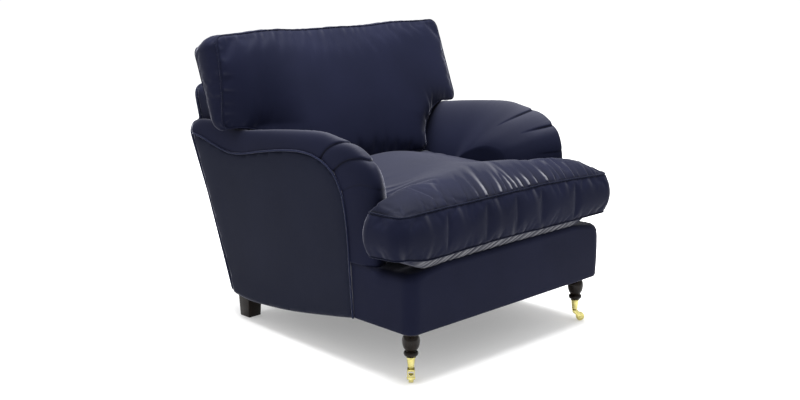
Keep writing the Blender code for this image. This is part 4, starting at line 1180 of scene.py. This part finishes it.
def bend_back(points):
    """Levels the underside of the ears, lays them on the arms, and lets the top edge wave a little."""
    out = points.copy()
    slumped = (0.045 * smooth_share((points[:, 0] - 0.20) / 0.14)
               + 0.030 * smooth_share((points[:, 0] - 0.36) / 0.085))
    slumped *= (np.clip(points[:, 1] / BACK_EARS, 0, 1) ** 1.6
                * np.exp(-(np.maximum(points[:, 1] - BACK_EARS, 0) / 0.08) ** 2))
    out[:, 2] -= slumped * np.clip(points[:, 2] / BACK_THICKNESS, 0, 1.3)
    x, y, z = out.T.copy()
    out[:, 1] -= (BACK_THICKNESS - z) * math.tan(BACK_RAKE) * np.clip(y / (BACK_EARS * 0.9), 0, 1)
    outer = np.clip((np.abs(x) - 0.385) / 0.06, 0, 1)
    rear = np.clip(1 - z / BACK_THICKNESS, 0, 1)
    sag = 0.012 * outer ** 2 + 0.005 * np.sin(math.pi * rear) * (1 - outer)
    near_ears = np.exp(-((y - BACK_EARS) / 0.05) ** 2) * np.clip((np.abs(x) - 0.30) / 0.06, 0, 1)
    out[:, 1] += sag * near_ears
    wave = 0.009 * np.clip((x - 0.02) / 0.18, 0, 1) + 0.002 * np.cos(x * 24.0)
    out[:, 1] -= wave * np.exp(-np.maximum(y, 0) / 0.07)
    return out


def make_back_cushion():
    cosine, sine = math.cos(BACK_RAKE), math.sin(BACK_RAKE)
    length = (BACK_TOP_Z - BACK_BOTTOM_Z) / cosine
    cushion = Cushion(0.4500, 0.268, BACK_EARS, length, BACK_THICKNESS, (0.028, 0.034, 0.030), 0.150,
                      CUSHION_CELL)
    obj = cushion.build("back_cushion_pad", NAVY, back_crown, back_belly, back_bulge)
    caps = back_caps(cushion, coordinates_of(obj))
    simulate(obj, cushion.low_seam + cushion.high_seam, 3.0, 0.02, 20, caps)
    subdivide(obj)
    tucks, nap = back_surface(cushion, coordinates_of(obj))
    displace(obj, tucks)
    set_painted_light(obj, nap)
    turn = Matrix(((-1, 0, 0), (0, -sine, -cosine), (0, -cosine, sine))).to_4x4()
    corner = Vector((0.0, at(back_face_setback(BACK_TOP_Z)), BACK_TOP_Z))
    corner += Vector((0.0, cosine, -sine)) * BACK_THICKNESS
    matrix = Matrix.Translation(corner) @ turn
    finish_cushion(cushion, obj, "back_cushion", matrix, bend_back, 0.0020, NAVY)


ZIP_PITCH = 0.0030


def make_zips():
    """Metal zip in the boxing behind each cushion: interlocked teeth and a slider."""
    for name in ("seat_cushion", "back_cushion"):
        low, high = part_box(name + "_zip")
        centre = (low + high) / 2
        vertices, faces = [], []
        for n in range(int((high.x - low.x - 0.02) / ZIP_PITCH)):
            x = low.x + 0.01 + n * ZIP_PITCH
            side = 0.0011 if n % 2 else -0.0011
            add_block(vertices, faces, (x, 0.0004, side), (0.0011, 0.0010, 0.0022))
        add_block(vertices, faces, (high.x - 0.016, 0.0014, 0.0), (0.0050, 0.0016, 0.0042))
        add_block(vertices, faces, (high.x - 0.024, 0.0022, 0.0), (0.0090, 0.0006, 0.0022))
        zip_teeth = make_object(name + "_zip_teeth", vertices, faces, ZIP_BRASS)
        for polygon in zip_teeth.data.polygons:
            polygon.use_smooth = False
        rear = Vector((0.0, high.y if name == "seat_cushion" else centre.y, centre.z))
        zip_teeth.data.transform(Matrix.Translation(rear))
        place(zip_teeth, name, "zip_brass", name + "_zip")


def add_block(vertices, faces, centre, half):
    base = len(vertices)
    for dx in (-1, 1):
        for dy in (-1, 1):
            for dz in (-1, 1):
                way = (dx, dy, dz)
                vertices.append(tuple(c + w * h for c, w, h in zip(centre, way, half)))
    quads = ((0, 1, 3, 2), (4, 6, 7, 5), (0, 4, 5, 1), (2, 3, 7, 6), (0, 2, 6, 4), (1, 5, 7, 3))
    faces.extend(tuple(base + i for i in quad) for quad in quads)


# ---------------------------------------------------------------- legs and castors

LEG_X = 0.3522
LEG_SETBACK = 0.0514
FRONT_LEG_PROFILE = [(0.0005, 0.0662), (0.0118, 0.0662), (0.0126, 0.0672), (0.0150, 0.0692), (0.0178, 0.0712),
                     (0.0194, 0.0742), (0.0199, 0.0768), (0.0194, 0.0795), (0.0176, 0.0822), (0.0152, 0.0836),
                     (0.0147, 0.0848), (0.0160, 0.0866), (0.0186, 0.0900), (0.0211, 0.0950), (0.0228, 0.1010),
                     (0.0237, 0.1075), (0.0239, 0.1130), (0.0233, 0.1185), (0.0219, 0.1238), (0.0202, 0.1272),
                     (0.0196, 0.1290), (0.0200, 0.1306), (0.0236, 0.1316), (0.0260, 0.1336), (0.0268, 0.1368),
                     (0.0263, 0.1398), (0.0250, 0.1412), (0.0250, 0.1500), (0.0005, 0.1500)]


def make_front_legs():
    for side, sign in SIDES:
        vertices, faces = lathe(catmull(FRONT_LEG_PROFILE, 3), 56)
        leg = outward(make_object("front_leg_" + side + "_turned", vertices, faces, DARK_WOOD))
        leg.data.transform(Matrix.Translation((sign * LEG_X, at(LEG_SETBACK), 0.0)))
        place(leg, "chair", "dark_wood", "front_leg_" + side)


def add_solid(vertices, faces, rings):
    """Adds a closed solid through rings that have the same number of points."""
    points, found = lattice(rings, wrap_v=True)
    size = len(rings[0])
    found.append(tuple(range(size)))
    found.append(tuple(range(len(points) - size, len(points))))
    faces += [tuple(i + len(vertices) for i in face) for face in found]
    vertices += [tuple(p) for p in points]


REAR_LEG_LEVELS = [(0.0, 0.0215), (0.0012, 0.0225), (0.05, 0.0247), (0.0895, 0.0268), (0.0905, 0.0262)]
REAR_LEG_ROUNDING = 0.0022


def square_ring(centre, half, z):
    """A level square with rounded corners."""
    ring = []
    edge = half - REAR_LEG_ROUNDING
    for quarter in range(4):
        for step in range(5):
            t = math.pi / 2 * (quarter + step / 4)
            within = t + 1e-6 if step < 4 else t - 1e-6
            ring.append((centre.x + math.copysign(edge, math.cos(within)) + REAR_LEG_ROUNDING * math.cos(t),
                         centre.y + math.copysign(edge, math.sin(within)) + REAR_LEG_ROUNDING * math.sin(t),
                         z))
    return ring


def make_rear_legs():
    for side, _ in SIDES:
        low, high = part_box("rear_leg_" + side)
        centre = (low + high) / 2
        vertices, faces = [], []
        add_solid(vertices, faces, [square_ring(centre, half, z) for z, half in REAR_LEG_LEVELS])
        leg = outward(make_object("rear_leg_" + side + "_block", vertices, faces, DARK_WOOD))
        place(leg, "chair", "dark_wood", "rear_leg_" + side)


# Castors: (radius, height) points, and for the wheel and axle (radius, place along the axle)
CASTOR_HEADINGS = {"left": math.radians(225.8), "right": math.radians(315.8)}
CASTOR_TRAIL = 0.017
WHEEL_RADIUS = 0.0127
CUP_PROFILE = [(0.0005, 0.0378), (0.0080, 0.0378), (0.0090, 0.0386), (0.0093, 0.0400), (0.0088, 0.0412),
               (0.0090, 0.0424), (0.0103, 0.0520), (0.0112, 0.0610), (0.0118, 0.0626), (0.0126, 0.0634),
               (0.0128, 0.0646), (0.0125, 0.0656), (0.0116, 0.0659), (0.0005, 0.0659)]
PIN_PROFILE = [(0.0005, 0.0300), (0.0028, 0.0300), (0.0028, 0.0338), (0.0060, 0.0340), (0.0064, 0.0348),
               (0.0060, 0.0356), (0.0040, 0.0362), (0.0028, 0.0370), (0.0028, 0.0378), (0.0005, 0.0378)]
HALF_RIVET = [(0.0018, 0.0100), (0.0028, 0.0101), (0.0026, 0.0108), (0.0016, 0.0116), (0.0002, 0.0118)]
HALF_WHEEL = [(0.0127, 0.0040), (0.0124, 0.0056), (0.0112, 0.0066), (0.0092, 0.0066), (0.0084, 0.0058),
              (0.0052, 0.0060), (0.0046, 0.0068), (0.0021, 0.0068)]


def mirrored(half):
    """The whole profile of a shape with two alike sides."""
    return [(radius, -along) for radius, along in half[::-1]] + half


def make_castors():
    wheel = mirrored(HALF_WHEEL)
    for side, sign in SIDES:
        axis = Matrix.Translation((sign * LEG_X, at(LEG_SETBACK), 0.0))
        axis = axis @ Matrix.Rotation(CASTOR_HEADINGS[side], 4, "Z")
        across = axis @ Matrix.Translation((CASTOR_TRAIL, 0.0, WHEEL_RADIUS))
        across = across @ Matrix.Rotation(math.pi / 2, 4, "X")
        castor = side + "_castor"
        for node, ending, shape, matrix, body in (
                ("castor_cup_", "_turned", lathe(catmull(CUP_PROFILE, 3), 48), axis, "chair"),
                ("castor_pin_", "_turned", lathe(PIN_PROFILE, 32), axis, castor),
                ("castor_fork_", "_cast", fork_shape(), axis, castor),
                ("castor_axle_", "_rivet", lathe(mirrored(HALF_RIVET), 24), across, castor),
                ("castor_wheel_", "_turned", lathe(wheel + wheel[:1], 64), across, castor + "_wheel")):
            add_metal(node + side + ending, shape, matrix, body, node + side)


def add_metal(name, shape, matrix, body, node):
    vertices, faces = shape
    obj = outward(make_object(name, vertices, faces, BRASS))
    obj.data.transform(matrix)
    obj.data.shade_smooth()
    obj.data.set_sharp_from_angle(angle=math.radians(40))
    place(obj, body, "castor_brass", node)


FORK_EYE = 0.0054
FORK_BRIDGE = [(-0.0072, 0.0334), (-0.0072, 0.0290), (-0.0045, 0.0272), (0.0100, 0.0272), (0.0100, 0.0316),
               (0.0065, 0.0334)]


def fork_shape():
    """Two cheeks that hold the wheel, joined by a bridge under the swivel."""
    outline = [(-0.0070, 0.0334), (-0.0076, 0.0300), (-0.0050, 0.0258), (0.0020, 0.0205), (0.0085, 0.0150)]
    for t in np.linspace(-1.6, 1.9, 9):
        outline.append((CASTOR_TRAIL + FORK_EYE * math.sin(t), WHEEL_RADIUS - FORK_EYE * math.cos(t)))
    outline += [(0.0150, 0.0240), (0.0105, 0.0306), (0.0065, 0.0334)]
    outline = np.array(outline)
    centre = outline.mean(0)
    vertices, faces = [], []
    for sign in (-1, 1):
        rings = []
        for y, shrink in ((0.0074, 0.0), (0.0094, 0.0), (0.0101, 0.0007)):
            grown = outline + (centre - outline) * (shrink / 0.012)
            rings.append([(x, sign * y, z) for x, z in grown])
        add_solid(vertices, faces, rings)
    add_solid(vertices, faces, [[(x, y, z) for x, z in FORK_BRIDGE] for y in (-0.0076, 0.0076)])
    return vertices, faces


# ---------------------------------------------------------------- carried-over frame, studio and camera

def paint_frame():
    """Materials for the CAD nodes that stay."""
    for name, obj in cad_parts.items():
        if name.startswith(("seat_spring", "leg_bolt")):
            material = STEEL
        elif name in ("dust_cover", "seat_deck"):
            material = LINING
        else:
            material = BEECH
        for slot in obj.material_slots:
            slot.material = material


def make_studio():
    floor_cloth, nodes, links, shader = shader_of("Studio floor")
    shade = object_noise(nodes, links, 0.6, 2.0)
    links.new(ramp(nodes, links, shade, [(0.0, (0.76, 0.76, 0.76)), (1.0, (0.78, 0.78, 0.78))]),
              shader.inputs["Base Color"])
    shader.inputs["Roughness"].default_value = 0.9
    shader.inputs["Specular IOR Level"].default_value = 0.0
    shader.inputs["Emission Color"].default_value = (1.0, 1.0, 1.0, 1.0)
    shader.inputs["Emission Strength"].default_value = 0.25
    half = 40.0
    corners = [(-half, -half, 0), (half, -half, 0), (half, half, 0), (-half, half, 0)]
    floor = make_object("studio_floor", corners, [(0, 1, 2, 3)], floor_cloth)
    world = bpy.data.worlds.new("Studio")
    bpy.context.scene.world = world
    world.use_nodes = True
    world.node_tree.nodes["Background"].inputs["Color"].default_value = (1.0, 1.0, 1.0, 1.0)
    world.node_tree.nodes["Background"].inputs["Strength"].default_value = 1.0
    add_light("Overhead soft box", (0.1, 0.12, 3.2), (0.0, 0.0, 0.3), 2.2, 320.0)
    add_light("Left fill", (-3.2, 0.2, 1.6), (0.0, 0.0, 0.4), 1.6, 2.0)


def add_light(name, location, target, size, power):
    data = bpy.data.lights.new(name, "AREA")
    data.shape = "SQUARE"
    data.size = size
    data.energy = power
    light = bpy.data.objects.new(name, data)
    bpy.context.scene.collection.objects.link(light)
    light.location = location
    aim = Vector(target) - Vector(location)
    light.rotation_euler = aim.to_track_quat("-Z", "Y").to_euler()


def make_camera():
    data = bpy.data.cameras.new("Camera")
    data.sensor_width = 36.0
    data.lens = 55.49
    camera = bpy.data.objects.new("Camera", data)
    bpy.context.scene.collection.objects.link(camera)
    camera.location = (-2.5346, -2.6413, 1.2413)
    camera.rotation_euler = (math.radians(90 - 13.518), 0.0, math.radians(-44.194))
    bpy.context.scene.camera = camera


def main():
    paint_frame()
    make_arms()
    make_side_panels()
    make_border()
    make_inside_back()
    make_outside_back()
    make_seat_cushion()
    make_back_cushion()
    make_zips()
    make_front_legs()
    make_rear_legs()
    make_castors()
    make_studio()
    make_camera()
    bpy.context.scene.view_settings.view_transform = "Standard"
    bpy.context.view_layer.update()


main()
